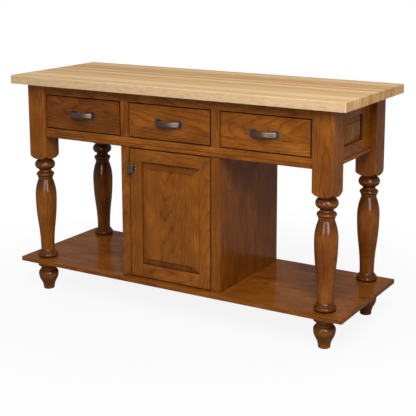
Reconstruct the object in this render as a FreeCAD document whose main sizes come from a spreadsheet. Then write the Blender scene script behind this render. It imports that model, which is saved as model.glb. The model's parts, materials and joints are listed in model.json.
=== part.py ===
# A kitchen island: butcher-block top, four turned legs, three drawers, a door and a lower shelf.
# Millimetres. X runs along the island, the drawers and the door face -Y, and Z is up.
# The origin lies on the floor under the middle of the top.
import FreeCAD, Part
import math
import os
from types import SimpleNamespace

import Sketcher

UP = FreeCAD.Vector(0, 0, 1)
OVERCUT = 5.0
TOUCH = 1e-4
# The most of a wall that the rounding of one of its edges may take.
WALL_SHARE = 0.45

SIZES = [
    ("overall_height", 914, "floor to the worktop's surface"),
    ("top_length", 1482, "worktop along X"),
    ("top_depth", 551, "worktop along Y"),
    ("top_thickness", 35, "worktop thickness"),
    ("top_edge_round", 2.5, "eased edge of the worktop"),
    ("top_overhang_end", 57, "worktop past the legs at each end"),
    ("top_overhang_front", 38, "worktop past the legs at the front and the back"),
    ("shelf_overhang_end", 51, "lower shelf past the legs at each end"),
    ("shelf_overhang_front", 20, "lower shelf past the legs at the front and the back"),
    ("shelf_thickness", 19, "lower shelf thickness"),
    ("shelf_edge_round", 3, "eased edge of the lower shelf"),
    ("leg_square", 84, "side of the leg's square stock"),
    ("leg_head_height", 316, "square head of the leg, with its rounded shoulder"),
    ("leg_arris_round", 2, "eased edge of the leg's square head"),
    ("turning_allowance", 0.5, "wood turned off the square stock at the widest turning"),
    ("collar_height", 20, "round collar that stands on the shelf"),
    ("collar_cut", 7.5, "depth turned off beside the collar's round"),
    ("collar_step_height", 4, "small step above the collar"),
    ("shaft_cove_height", 11, "hollow above the collar's step"),
    ("shaft_cut", 13.5, "depth turned off at the slimmest part of the leg"),
    ("belly_swell", 1.5, "belly past the side of the square head"),
    ("taper_hollow_share", 0.47, "part of the taper that is hollow, the rest swells"),
    ("vase_shoulder_height", 72, "belly to the neck above it"),
    ("vase_neck_cut", 12, "depth turned off at the neck above the belly"),
    ("band_height", 13, "flared band above the neck"),
    ("band_flat_height", 3, "upright edge of the flared band"),
    ("band_cut", 10, "depth turned off at the flared band"),
    ("bead_waist_cut", 11.5, "depth turned off between the ring, the hollow and the large round"),
    ("ring_height", 17, "ring above the band"),
    ("ring_bulge", 6.3, "ring past the turning beside it"),
    ("scotia_height", 14, "hollow above the ring"),
    ("scotia_depth", 5.2, "how far the hollow goes in"),
    ("torus_height", 37, "large round above the hollow"),
    ("pommel_neck_height", 5, "neck under the square head"),
    ("pommel_neck_cut", 13.5, "depth turned off at the neck under the square head"),
    ("pommel_cover", 3.5, "how far the shoulder's curve runs past the square's corner"),
    ("toe_cut", 18.8, "depth turned off at the foot's toe"),
    ("toe_round", 3, "rounded edge at the floor"),
    ("foot_ogee_height", 66, "rise from the toe to the foot's bulb"),
    ("foot_hollow_share", 0.5, "part of that rise that is hollow"),
    ("foot_shoulder_height", 16, "bulb to the small ring above it"),
    ("foot_ring_height", 4, "small ring under the foot's neck"),
    ("foot_ring_cut", 9.5, "depth turned off at that small ring"),
    ("foot_neck_cut", 11.5, "depth turned off at the foot's neck"),
    ("foot_cove_height", 15, "hollow above the foot's neck"),
    ("foot_cove_cut", 2, "depth turned off at the top of that hollow"),
    ("foot_lip_height", 18, "disc under the shelf"),
    ("leg_bolt_radius", 5, "bolt between leg and foot"),
    ("leg_bolt_reach", 38, "how far the bolt goes into the leg and into the foot"),
    ("bore_clearance", 0.05, "bore larger than its pin or bolt, on the radius"),
    ("screw_clearance", 0.5, "through hole larger than its screw, on the radius"),
    ("front_setback", 6, "front frame behind the legs' front faces"),
    ("side_setback", 29, "end aprons behind the legs' outer faces"),
    ("back_setback", 3, "back frame behind the legs' back faces"),
    ("frame_thickness", 19, "rails, stiles, drawer fronts and door"),
    ("top_rail_height", 39, "front rail above the drawers"),
    ("drawer_opening_height", 138, "opening between the front rails"),
    ("bottom_rail_height", 39, "front rail below the drawers"),
    ("stile_width", 38, "stiles of the front, the cabinet and the back apron"),
    ("end_strip_width", 5, "strip of the front between a leg and an outer drawer's opening"),
    ("middle_opening_width", 372, "opening of the middle drawer and of the door"),
    ("side_rail_low_height", 58, "lower rail of an end apron"),
    ("side_rail_high_height", 60, "upper rail of an end apron"),
    ("side_stile_width", 72, "stiles of an end apron"),
    ("back_rail_low_height", 57, "lower rail of the back apron"),
    ("back_rail_high_height", 53, "upper rail of the back apron"),
    ("tenon_length", 30, "rail tenon in the leg"),
    ("tenon_thickness", 9, "rail tenon in the leg"),
    ("tenon_shoulder", 6, "rail above and below its tenon"),
    ("glue_gap", 0.1, "room around a tenon, and on each face of a panel's tongue"),
    ("arris_round", 1.2, "eased edge of rails, stiles, door and drawer fronts"),
    ("bead_height", 15, "bead along the foot of each apron"),
    ("bead_projection", 9, "bead in front of an end or back apron"),
    ("front_bead_projection", 5, "bead in front of the front rail"),
    ("bead_round", 5, "rounded nose of the bead"),
    ("sticking_round", 6, "rounded inner edge of a panel's frame"),
    ("groove_lip", 4, "square edge between the rounded edge and the panel groove"),
    ("groove_width", 5, "panel groove"),
    ("groove_depth", 9, "panel groove"),
    ("panel_gap", 1.5, "room for the panel to swell, at each edge"),
    ("panel_bevel_width", 26, "sloping margin of a raised panel"),
    ("side_bevel_width", 21, "sloping margin of an end apron's panel"),
    ("panel_step", 2.4, "step between the margin and the raised field"),
    ("field_round", 2, "rounded edge of the raised field"),
    ("panel_set", 1, "raised field behind the frame's face"),
    ("side_thickness", 19, "cabinet sides and shelf"),
    ("cabinet_shelf_height", 250, "lower shelf to the pins of the cabinet's shelf"),
    ("cabinet_shelf_gap", 1, "room at each end of the cabinet's shelf"),
    ("cabinet_shelf_setback", 30, "cabinet's shelf behind the door"),
    ("cabinet_shelf_rear_gap", 5, "room behind the cabinet's shelf"),
    ("shelf_pin_radius", 3, "pin under the cabinet's shelf"),
    ("shelf_pin_seat", 9, "pin in the cabinet's side"),
    ("shelf_pin_reach", 11, "pin out of the cabinet's side"),
    ("shelf_pin_inset", 45, "pin from the front or back edge of the shelf"),
    ("reveal", 3, "gap around the drawer fronts and the door"),
    ("slide_thickness", 12.7, "telescopic slide, wall to drawer side"),
    ("slide_height", 45, "telescopic slide"),
    ("slide_wall", 1.2, "sheet of the slide's members"),
    ("slide_run", 0.3, "running gap between the slide's members"),
    ("slide_inset", 2, "slide behind the drawer front"),
    ("slide_middle_stand", 1.6, "middle member off the wall"),
    ("slide_outer_short", 2.2, "outer member's open edge from the drawer side"),
    ("slide_middle_short", 1.7, "middle member's open edge from the drawer side"),
    ("slide_inner_gap", 1.2, "inner member's open edge from the middle member"),
    ("box_lift", 12, "drawer box above the opening's lower edge"),
    ("box_height", 100, "drawer box side"),
    ("box_rear_gap", 22, "drawer box from the back frame"),
    ("box_side_thickness", 12, "drawer box sides and back"),
    ("box_bottom_lift", 8, "drawer bottom above the side's lower edge"),
    ("box_bottom_thickness", 6, "drawer bottom"),
    ("box_groove_depth", 6, "groove that holds the drawer bottom"),
    ("box_fit", 0.2, "room around the drawer bottom in its groove"),
    ("pull_centres", 96, "between the two screws of a pull"),
    ("pull_plate_width", 26, "back plate of a pull"),
    ("pull_plate_height", 31, "back plate of a pull"),
    ("pull_plate_thickness", 3, "back plate of a pull"),
    ("pull_plate_round", 4, "rounded corner of the back plate"),
    ("pull_overhang", 6, "bar past the screws at each end"),
    ("pull_end_stand", 10, "bar's face in front of the drawer at its ends"),
    ("pull_stand", 27, "bar's face in front of the drawer at the middle"),
    ("pull_bar_height", 22.5, "bar of a pull"),
    ("pull_bar_thickness", 9, "bar of a pull"),
    ("pull_bar_round", 4, "rounded edge of the bar"),
    ("pull_post_radius", 5.5, "post between plate and bar"),
    ("screw_radius", 2, "screw of a pull or of the knob"),
    ("screw_head_radius", 4, "head of that screw"),
    ("screw_head_height", 2.5, "head of that screw"),
    ("screw_bite", 9, "screw in the pull or the knob"),
    ("door_stile_width", 52, "stiles of the door and of the cabinet's back"),
    ("door_rail_height", 52, "rails of the door and of the cabinet's back"),
    ("knob_inset", 18.5, "knob from the door's opening edge"),
    ("knob_drop", 78, "knob below the door's upper edge"),
    ("knob_plate_side", 21, "back plate of the knob"),
    ("knob_plate_thickness", 3, "back plate of the knob"),
    ("knob_plate_round", 1.2, "eased edge of the knob's back plate"),
    ("knob_post_radius", 6, "post of the knob"),
    ("knob_head_side", 29, "head of the knob"),
    ("knob_head_thickness", 9, "head of the knob"),
    ("knob_head_round", 3, "rounded edge of the knob's head"),
    ("knob_stand", 30, "front of the knob before the door"),
    ("pivot_in", 7, "hinge pivot from the door's edge"),
    ("pivot_back", 4.5, "hinge pivot behind the door's face"),
    ("pin_radius", 2, "hinge pin"),
    ("pin_clearance", 0.06, "hole larger than the hinge pin, on the radius"),
    ("pin_tip", 4, "hinge pin past the door's leaf"),
    ("collar_radius", 3.5, "collar that the door's lower leaf turns on"),
    ("collar_play", 0.1, "play between that collar and the leaf"),
    ("leaf_thickness", 2.5, "hinge leaf"),
    ("leaf_tail", 30, "hinge leaf past the pivot, towards the door's middle"),
    ("leaf_edge_gap", 2, "hinge leaf from the door's edge"),
    ("leaf_face_gap", 1.5, "hinge leaf behind the door's face"),
    ("leaf_rear", 6, "hinge leaf behind the pivot"),
    ("catch_offset", 120, "catch from the middle of the door"),
    ("catch_width", 46, "magnetic catch"),
    ("catch_depth", 15, "magnetic catch"),
    ("catch_rise", 26, "catch up the back of the rail"),
    ("catch_drop", 16, "catch below the rail"),
    ("catch_plate_thickness", 1.2, "steel plate on the door"),
    ("catch_plate_height", 13, "steel plate on the door"),
    ("catch_gap", 0.3, "catch behind its plate"),
    ("clip_width", 25, "clip that holds the top"),
    ("clip_arm", 24, "clip along the top and along the rail"),
    ("clip_thickness", 2, "clip that holds the top"),
    ("clip_near", 110, "inner clips from the middle"),
    ("clip_far", 410, "outer clips from the middle"),
]


class Dim:
    """A length worked out from the sheet: its value now, and the expression that keeps it."""

    def __init__(self, value, text):
        self.value = value
        self.text = text

    def __add__(self, other):
        other = dim(other)
        return Dim(self.value + other.value, f"({self.text} + {other.text})")

    def __sub__(self, other):
        other = dim(other)
        return Dim(self.value - other.value, f"({self.text} - {other.text})")

    def __mul__(self, other):
        other = dim(other)
        return Dim(self.value * other.value, f"({self.text} * {other.text})")

    def __truediv__(self, other):
        other = dim(other)
        return Dim(self.value / other.value, f"({self.text} / {other.text})")

    def __radd__(self, other):
        return dim(other) + self

    def __rsub__(self, other):
        return dim(other) - self

    def __rmul__(self, other):
        return dim(other) * self

    def __neg__(self):
        return dim(0) - self

    def root(self):
        return Dim(math.sqrt(self.value), f"sqrt({self.text})")


def dim(length):
    """A plain number as a length."""
    if isinstance(length, Dim):
        return length
    return Dim(float(length), str(float(length)))


def least(first, second):
    return Dim(min(first.value, second.value), f"min({first.text}; {second.text})")


doc = FreeCAD.newDocument("kitchen_island")
sheet = doc.addObject("Spreadsheet::Sheet", "Sizes")
size = SimpleNamespace()
for row, (alias, value, note) in enumerate(SIZES, start=1):
    sheet.set(f"A{row}", note)
    sheet.set(f"B{row}", str(value))
    sheet.setAlias(f"B{row}", alias)
    setattr(size, alias, Dim(float(value), f"Sizes.{alias}"))
doc.recompute()

# Levels and planes that several pieces share.
under_top = size.overall_height - size.top_thickness
foot_height = (size.toe_round + size.foot_ogee_height + size.foot_shoulder_height + size.foot_ring_height
               + size.foot_cove_height + size.foot_lip_height)
shelf_top = foot_height + size.shelf_thickness
leg_height = under_top - shelf_top
leg_spread_x = size.top_length - 2 * size.top_overhang_end
leg_spread_y = size.top_depth - 2 * size.top_overhang_front
drawer_high = under_top - size.top_rail_height
drawer_low = drawer_high - size.drawer_opening_height
rail_under = drawer_low - size.bottom_rail_height
leg_inner_x = leg_spread_x / 2 - size.leg_square
leg_inner_y = leg_spread_y / 2 - size.leg_square
bay_end = leg_inner_x - size.end_strip_width
leg_axis_x = leg_spread_x / 2 - size.leg_square / 2
leg_axis_y = leg_spread_y / 2 - size.leg_square / 2
front_face = size.front_setback - leg_spread_y / 2
front_inner = front_face + size.frame_thickness
back_face = leg_spread_y / 2 - size.back_setback
back_inner = back_face - size.frame_thickness
apron_height = under_top - rail_under
apron_length = leg_inner_x * 2
middle_half = size.middle_opening_width / 2
stile_outer = middle_half + size.stile_width
cabinet_height = rail_under - shelf_top
side_inner = stile_outer - size.side_thickness
door_width = size.middle_opening_width - 2 * size.reveal
door_height = cabinet_height - 2 * size.reveal
pivot_x = door_width / 2 - size.pivot_in
pivot_y = front_face + size.pivot_back
turned_radius = size.leg_square / 2 - size.turning_allowance
groove_front = size.sticking_round + size.groove_lip
leaf_nose = size.pivot_in - size.leaf_edge_gap
leaf_front = size.pivot_back - size.leaf_face_gap
CORNERS = {"front_left": (-1, -1), "front_right": (1, -1), "back_left": (-1, 1), "back_right": (1, 1)}

nodes = []


def node(piece, label):
    """Name a finished piece and keep it for writing."""
    piece.Label = label
    nodes.append(piece)
    return piece


def bind(thing, path, length):
    thing.setExpression(path, dim(length).text)


def place(thing, x, y, z, turn=0):
    """Put a piece where it belongs, turned about the upright axis by whole degrees."""
    thing.Placement = FreeCAD.Placement(FreeCAD.Vector(), FreeCAD.Rotation(UP, turn))
    for axis, length in (("x", x), ("y", y), ("z", z)):
        bind(thing, f"Placement.Base.{axis}", length)
    return thing


def about(width, middle=0):
    """The two ends of a width laid about a middle."""
    width = dim(width)
    return (middle - width / 2, middle + width / 2)


def sided(pair, side):
    """The two ends of a width on the right, or mirrored to the left."""
    low, high = dim(pair[0]), dim(pair[1])
    return (low, high) if side > 0 else (-high, -low)


def board(name, x, y, z):
    """A board between two planes along each axis."""
    box = doc.addObject("Part::Box", name)
    for edge, axis, (low, high) in (("Length", "x", x), ("Width", "y", y), ("Height", "z", z)):
        bind(box, edge, dim(high) - dim(low))
        bind(box, f"Placement.Base.{axis}", low)
    return box


def rod(name, radius, start, direction, length):
    """A round rod from a point along a direction."""
    cylinder = doc.addObject("Part::Cylinder", name)
    spin = FreeCAD.Rotation(UP, FreeCAD.Vector(*direction))
    cylinder.Placement = FreeCAD.Placement(FreeCAD.Vector(), spin)
    bind(cylinder, "Radius", radius)
    bind(cylinder, "Height", length)
    for axis, low in zip("xyz", start):
        bind(cylinder, f"Placement.Base.{axis}", low)
    return cylinder


def group(name, pieces):
    """Separate solids kept together under one name."""
    compound = doc.addObject("Part::Compound", name)
    compound.Links = pieces
    return compound


def fused(name, pieces):
    joined = doc.addObject("Part::MultiFuse", name)
    joined.Shapes = pieces
    joined.Refine = True
    return joined


def cut(name, base, tools):
    piece = doc.addObject("Part::Cut", name)
    piece.Base = base
    piece.Tool = tools[0] if len(tools) == 1 else fused(f"{name}_cutters", tools)
    return piece


def shared(name, base, slab):
    piece = doc.addObject("Part::Common", name)
    piece.Base = base
    piece.Tool = slab
    return piece


def rounded(name, base, radius, wall, chosen=None):
    """Round the chosen edges of a piece, or all of them, by no more than its wall allows."""
    radius = least(radius, wall * WALL_SHARE)
    doc.recompute()
    fillet = doc.addObject("Part::Fillet", name)
    fillet.Base = base
    edges = enumerate(base.Shape.Edges, start=1)
    picked = [number for number, edge in edges if chosen is None or chosen(edge)]
    fillet.Edges = [(number, radius.value, radius.value) for number in picked]
    return fillet


def upright(edge):
    first, last = edge.Vertexes[0].Point, edge.Vertexes[-1].Point
    return math.hypot(first.x - last.x, first.y - last.y) < TOUCH


def on_front(shape_front):
    """A test for edges that lie in the plane of a piece's front."""
    return lambda edge: all(abs(vertex.Y - shape_front) < TOUCH for vertex in edge.Vertexes)


class Outline:
    """Half a turned profile from the floor up: corners as radius and height, with lines and arcs."""

    def __init__(self):
        self.points = [(dim(0), dim(0))]
        self.bends = []

    def line(self, radius, rise=0):
        self.points.append((dim(radius), self.points[-1][1] + rise))
        self.bends.append(None)

    def arc(self, radius, rise, bend, swells):
        self.points.append((dim(radius), self.points[-1][1] + rise))
        self.bends.append((dim(bend), swells))

    def bead(self, height, bulge, swells=True):
        """A round of the given height that bulges out, or goes in, and comes back."""
        half = dim(height) / 2
        self.arc(self.points[-1][0], height, (half * half + bulge * bulge) / (2 * bulge), swells)

    def swing(self, radius, rise, swells):
        """An arc that is upright at one of its ends."""
        step = dim(radius) - self.points[-1][0]
        if step.value < 0:
            step = -step
        self.arc(radius, rise, (step * step + rise * rise) / (2 * step), swells)

    def ogee(self, radius, rise, hollow_share):
        """A hollow that turns into a swelling, upright at both ends."""
        step = radius - self.points[-1][0]
        whole = (step * step + rise * rise) / (2 * step)
        bend_at = self.points[-1][0] + step * hollow_share
        self.arc(bend_at, rise * hollow_share, whole * hollow_share, False)
        self.arc(radius, rise * (1 - hollow_share), whole * (1 - hollow_share), True)


def arc_between(start, end, bend, swells):
    """The circle's arc between two points: round where it swells, hollow where it does not."""
    middle = (start + end) * 0.5
    along = end - start
    reach = math.sqrt(max(bend * bend - along.Length * along.Length / 4, 0))
    aside = FreeCAD.Vector(-along.y, along.x, 0) * (reach / along.Length)
    centre = middle + aside if swells else middle - aside
    first, last = (start, end) if swells else (end, start)
    angles = [math.atan2(point.y - centre.y, point.x - centre.x) for point in (first, last)]
    return Part.ArcOfCircle(Part.Circle(centre, UP, bend), *angles)


def hold_point(sketch, geometry, end, point):
    """Fix one end of a drawn line or arc at a worked-out place."""
    for kind, axis, length in (("DistanceX", -2, point[0]), ("DistanceY", -1, point[1])):
        if abs(length.value) < TOUCH:
            sketch.addConstraint(Sketcher.Constraint("PointOnObject", geometry, end, axis))
        else:
            ends = (-1, 1, geometry, end) if length.value > 0 else (geometry, end, -1, 1)
            number = sketch.addConstraint(Sketcher.Constraint(kind, *ends, abs(length.value)))
            bind(sketch, f"Constraints[{number}]", length if length.value > 0 else -length)


def draw(sketch, points, bends):
    """Draw a closed outline of lines and arcs, each corner and radius bound to the sheet."""
    spots = [FreeCAD.Vector(x.value, y.value, 0) for x, y in points]
    count = len(points)
    ends = []
    for number, bend in enumerate(bends):
        start, end = spots[number], spots[(number + 1) % count]
        if bend is None:
            ends.append((sketch.addGeometry(Part.LineSegment(start, end)), 1, 2))
        else:
            radius, swells = bend
            drawn = sketch.addGeometry(arc_between(start, end, radius.value, swells))
            ends.append((drawn, 1, 2) if swells else (drawn, 2, 1))
    for number, (drawn, first, last) in enumerate(ends):
        following, following_first, _ = ends[(number + 1) % count]
        sketch.addConstraint(Sketcher.Constraint("Coincident", drawn, last, following, following_first))
        hold_point(sketch, drawn, first, points[number])
        if bends[number] is not None:
            radius = bends[number][0]
            constraint = sketch.addConstraint(Sketcher.Constraint("Radius", drawn, radius.value))
            bind(sketch, f"Constraints[{constraint}]", radius)


def sketch_on(body, role, name):
    sketch = body.newObject("Sketcher::SketchObject", name)
    plane = next(feature for feature in body.Origin.OriginFeatures if feature.Role == role)
    sketch.AttachmentSupport = (plane, [""])
    sketch.MapMode = "FlatFace"
    return sketch


def turned(name, outline):
    """A piece turned on the lathe about its own upright axis."""
    body = doc.addObject("PartDesign::Body", name)
    sketch = sketch_on(body, "XZ_Plane", f"{name}_outline")
    draw(sketch, outline.points, outline.bends + [None])
    turning = body.newObject("PartDesign::Revolution", f"{name}_turning")
    turning.Profile = sketch
    turning.ReferenceAxis = (sketch, ["V_Axis"])
    turning.Angle = 360
    return body


def make_worktop():
    blank = board("worktop_blank", about(size.top_length), about(size.top_depth),
                  (under_top, size.overall_height))
    node(rounded("worktop", blank, size.top_edge_round, size.top_thickness), "butcher_block_top")


def leg_outline():
    """The leg from the shelf up: collar, tapered vase, ring, hollow, large round and square head."""
    belly = size.leg_square / 2 + size.belly_swell
    waist = turned_radius - size.collar_cut
    shaft = turned_radius - size.shaft_cut
    neck = turned_radius - size.vase_neck_cut
    band = turned_radius - size.band_cut
    bead_waist = turned_radius - size.bead_waist_cut
    pommel_neck = turned_radius - size.pommel_neck_cut
    cover = size.leg_square * math.sqrt(0.5) + size.pommel_cover
    below_taper = size.collar_height + size.collar_step_height + size.shaft_cove_height
    above_taper = (size.vase_shoulder_height + size.band_height + size.ring_height + size.scotia_height
                   + size.torus_height + size.pommel_neck_height)
    taper = leg_height - below_taper - above_taper - size.leg_head_height
    shoulder = cover - pommel_neck

    outline = Outline()
    outline.line(waist)
    outline.bead(size.collar_height, size.collar_cut)
    outline.line(waist, size.collar_step_height)
    outline.swing(shaft, size.shaft_cove_height, False)
    outline.ogee(belly, taper, size.taper_hollow_share)
    outline.swing(neck, size.vase_shoulder_height, True)
    outline.swing(band, size.band_height - size.band_flat_height, False)
    outline.line(band, size.band_flat_height)
    outline.line(bead_waist)
    outline.bead(size.ring_height, size.ring_bulge)
    outline.bead(size.scotia_height, size.scotia_depth, False)
    outline.bead(size.torus_height, size.bead_waist_cut)
    outline.line(pommel_neck)
    outline.line(pommel_neck, size.pommel_neck_height)
    outline.arc(cover, shoulder, shoulder, True)
    outline.line(cover, size.leg_head_height - shoulder)
    outline.line(0)
    return outline


def foot_outline():
    """The foot from the floor up: toe, ogee, bulb, small ring, neck and the disc under the shelf."""
    toe = turned_radius - size.toe_cut
    ring = turned_radius - size.foot_ring_cut
    outline = Outline()
    outline.line(toe - size.toe_round)
    outline.arc(toe, size.toe_round, size.toe_round, True)
    outline.ogee(turned_radius, size.foot_ogee_height, size.foot_hollow_share)
    outline.swing(ring, size.foot_shoulder_height, True)
    outline.line(ring, size.foot_ring_height)
    outline.line(turned_radius - size.foot_neck_cut)
    outline.swing(turned_radius - size.foot_cove_cut, size.foot_cove_height, False)
    outline.line(turned_radius)
    outline.line(turned_radius, size.foot_lip_height)
    outline.line(0)
    return outline


def tenon_band(face):
    """Where a rail's tenon lies in the rail's thickness, from the front face of the rail inwards."""
    return about(size.tenon_thickness, face + size.frame_thickness / 2)


def rail_levels(front):
    """Heights of the lower and the upper rail, between the aprons' underside and the top."""
    low = size.bottom_rail_height if front else size.back_rail_low_height
    high = size.top_rail_height if front else size.back_rail_high_height
    return ((rail_under, rail_under + low), (under_top - high, under_top))


def make_legs():
    stock = board("leg_stock", about(size.leg_square), about(size.leg_square), (0, leg_height))
    eased = rounded("leg_stock_eased", stock, size.leg_arris_round, size.leg_square, upright)
    blank = shared("leg_blank", eased, turned("leg_turning", leg_outline()))
    bore = rod("leg_bore", size.leg_bolt_radius + size.bore_clearance, (0, 0, -OVERCUT), (0, 0, 1),
               size.leg_bolt_reach + size.glue_gap + OVERCUT)
    gap = size.glue_gap
    inner = -size.leg_square / 2
    reach = (inner - OVERCUT, inner + size.tenon_length + gap)
    for corner, (side, end) in CORNERS.items():
        tools = [bore]
        low, high = tenon_band(front_face if end < 0 else back_inner)
        across = (low - gap - end * leg_axis_y, high + gap - end * leg_axis_y)
        for number, (bottom, top) in enumerate(rail_levels(end < 0)):
            tools.append(board(f"leg_{corner}_mortise_{number}", sided(reach, side), across,
                               (bottom + size.tenon_shoulder - gap - shelf_top,
                                top - size.tenon_shoulder + gap - shelf_top)))
        leg = cut(f"leg_{corner}", blank, tools)
        node(place(leg, side * leg_axis_x, end * leg_axis_y, shelf_top), f"leg_{corner}")


def make_feet():
    blank = turned("foot_turning", foot_outline())
    depth = size.leg_bolt_reach + size.glue_gap
    bore = rod("foot_bore", size.leg_bolt_radius + size.bore_clearance,
               (0, 0, foot_height - depth), (0, 0, 1), depth + OVERCUT)
    feet = []
    bolts = []
    for corner, (side, end) in CORNERS.items():
        foot = cut(f"foot_{corner}", blank, [bore])
        feet.append(place(foot, side * leg_axis_x, end * leg_axis_y, 0))
        start = (side * leg_axis_x, end * leg_axis_y, foot_height - size.leg_bolt_reach)
        bolts.append(rod(f"bolt_{corner}", size.leg_bolt_radius, start, (0, 0, 1),
                         2 * size.leg_bolt_reach + size.shelf_thickness))
    node(group("feet", feet), "turned_feet")
    node(group("bolts", bolts), "leg_bolts")


def leaf(name, levels, grow=0):
    """A hinge leaf, or with room around it the pocket that it is let into."""
    return board(name, (pivot_x - size.leaf_tail - grow, pivot_x + leaf_nose + grow),
                 (pivot_y - leaf_front - grow, pivot_y + size.leaf_rear + grow), levels)


def make_shelf():
    blank = board("shelf_blank", about(leg_spread_x + 2 * size.shelf_overhang_end),
                  about(leg_spread_y + 2 * size.shelf_overhang_front), (foot_height, shelf_top))
    eased = rounded("shelf_eased", blank, size.shelf_edge_round, size.shelf_thickness)
    pocket_levels = (shelf_top - size.leaf_thickness, shelf_top + OVERCUT)
    tools = [leaf("shelf_hinge_pocket", pocket_levels, size.glue_gap)]
    for corner, (side, end) in CORNERS.items():
        start = (side * leg_axis_x, end * leg_axis_y, foot_height - OVERCUT)
        tools.append(rod(f"shelf_hole_{corner}", size.leg_bolt_radius + size.bore_clearance, start, (0, 0, 1),
                         size.shelf_thickness + 2 * OVERCUT))
    node(cut("shelf", eased, tools), "lower_shelf")


def frame_blank(name, width, height, openings, levels, grooved=True):
    """Rails and stiles as one flat ring: moulded and grooved inside for panels, or only eased.

    The ring stands about its own middle, front face at y = 0 and lower edge at z = 0.
    """
    tools = []
    low, high = levels
    for number, (left, right) in enumerate(openings):
        tools.append(board(f"{name}_opening_{number}", (left, right),
                           (-OVERCUT, size.frame_thickness + OVERCUT), (low, high)))
        if grooved:
            deep = size.groove_depth
            tools.append(board(f"{name}_groove_{number}", (left - deep, right + deep),
                               (groove_front, groove_front + size.groove_width),
                               (low - deep, high + deep)))
    slab = board(f"{name}_slab", about(width), (0, size.frame_thickness), (0, height))
    ring = cut(f"{name}_ring", slab, tools)
    half, top = dim(width).value / 2, dim(height).value

    def inner_rim(edge):
        middle = edge.CenterOfMass
        inside = abs(middle.x) < half - TOUCH and TOUCH < middle.z < top - TOUCH
        return inside and on_front(0)(edge)

    edge_round = size.sticking_round if grooved else size.arris_round
    return rounded(f"{name}_moulded", ring, edge_round, size.frame_thickness, inner_rim)


def eased_outside(name, ring, width, height):
    """Ease the outer front edges of a ring that stands free."""
    half, top = width.value / 2, height.value

    def outer_rim(edge):
        middle = edge.CenterOfMass
        outside = abs(middle.x) > half - TOUCH or middle.z < TOUCH or middle.z > top - TOUCH
        return outside and on_front(0)(edge)

    return rounded(f"{name}_eased", ring, size.arris_round, size.frame_thickness, outer_rim)


def frame_part(name, ring, x, z):
    """The rail or stile of a ring that lies between two planes each way."""
    return shared(name, ring, board(f"{name}_bounds", x, (-OVERCUT, size.frame_thickness + OVERCUT), z))


def raised_panel(name, opening, levels, margin=size.panel_bevel_width):
    """A panel with a tongue in the frame's groove, a sloping margin and a raised field."""
    left, right = opening
    low, high = levels
    reach = size.groove_depth - size.panel_gap
    tongue_front = groove_front + size.glue_gap
    tongue_back = groove_front + size.groove_width - size.glue_gap
    bevel_front = size.panel_set + size.panel_step
    tongue = board(f"{name}_tongue", (left - reach, right + reach), (tongue_front, tongue_back),
                   (low - reach, high + reach))
    bevel = doc.addObject("Part::Wedge", f"{name}_bevel")
    edge = size.glue_gap
    for inner, outer, length in (("Xmin", "X2min", left), ("Zmin", "Z2min", low)):
        bind(bevel, inner, length + margin)
        bind(bevel, outer, length + edge)
    for inner, outer, length in (("Xmax", "X2max", right), ("Zmax", "Z2max", high)):
        bind(bevel, inner, length - margin)
        bind(bevel, outer, length - edge)
    bind(bevel, "Ymin", bevel_front)
    bind(bevel, "Ymax", tongue_front)
    block = board(f"{name}_field_block", (left + margin, right - margin), (size.panel_set, tongue_front),
                  (low + margin, high - margin))
    field = rounded(f"{name}_field", block, size.field_round, tongue_front - size.panel_set,
                    on_front(size.panel_set.value))
    return fused(name, [tongue, bevel, field])


def tenoned(name, rail, front, level):
    """A rail with a tenon at each end, for the mortises in the legs."""
    bottom, top = rail_levels(front)[level]
    shoulder = size.tenon_shoulder
    tenons = []
    for hand, side in (("left", -1), ("right", 1)):
        reach = sided((leg_inner_x - OVERCUT, leg_inner_x + size.tenon_length), side)
        tenons.append(board(f"{name}_tenon_{hand}", reach, tenon_band(dim(0)),
                            (bottom + shoulder - rail_under, top - shoulder - rail_under)))
    return fused(name, [rail] + tenons)


def make_front_frame():
    ends = leg_inner_x + OVERCUT
    openings = [(-bay_end, -stile_outer), (-middle_half, middle_half), (stile_outer, bay_end)]
    levels = (size.bottom_rail_height, apron_height - size.top_rail_height)
    ring = frame_blank("front", apron_length, apron_height, openings, levels, grooved=False)
    across = about(apron_length + 2 * OVERCUT)
    spans = {"front_bottom_rail": (-OVERCUT, levels[0]),
             "front_top_rail": (levels[1], apron_height + OVERCUT)}
    for level, (label, span) in enumerate(spans.items()):
        plain = frame_part(f"{label}_plain", ring, across, span)
        rail = tenoned(f"{label}_tenoned", plain, True, level)
        if level == 0:
            pocket = leaf("rail_hinge_pocket", (-OVERCUT, size.leaf_thickness), size.glue_gap)
            bind(pocket, "Placement.Base.y", size.leaf_face_gap - size.glue_gap)
            rail = cut(f"{label}_pocketed", rail, [pocket])
        node(place(rail, 0, front_face, rail_under), label)
    stiles = []
    for hand, side in (("left", -1), ("right", 1)):
        for kind, span in (("stile", (middle_half, stile_outer)), ("strip", (bay_end, ends))):
            stile = frame_part(f"front_{kind}_{hand}", ring, sided(span, side), levels)
            stiles.append(place(stile, 0, front_face, rail_under))
    node(group("front_uprights", stiles), "front_stiles")


def apron_bead(name, length, projection=size.bead_projection):
    blank = board(f"{name}_blank", about(length), (-projection, 0), (0, size.bead_height))
    nose = least(size.bead_round, projection - size.glue_gap)
    return rounded(name, blank, nose, size.bead_height, on_front(-projection.value))


def make_beads():
    apron_width = 2 * leg_inner_y
    side_face = leg_spread_x / 2 - size.side_setback
    front = apron_bead("bead_front", apron_length, size.front_bead_projection)
    beads = [place(front, 0, front_face, rail_under),
             place(apron_bead("bead_back", apron_length), 0, back_face, rail_under, 180),
             place(apron_bead("bead_right", apron_width), side_face, 0, rail_under, 90),
             place(apron_bead("bead_left", apron_width), -side_face, 0, rail_under, -90)]
    node(group("beads", beads), "apron_beads")


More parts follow.
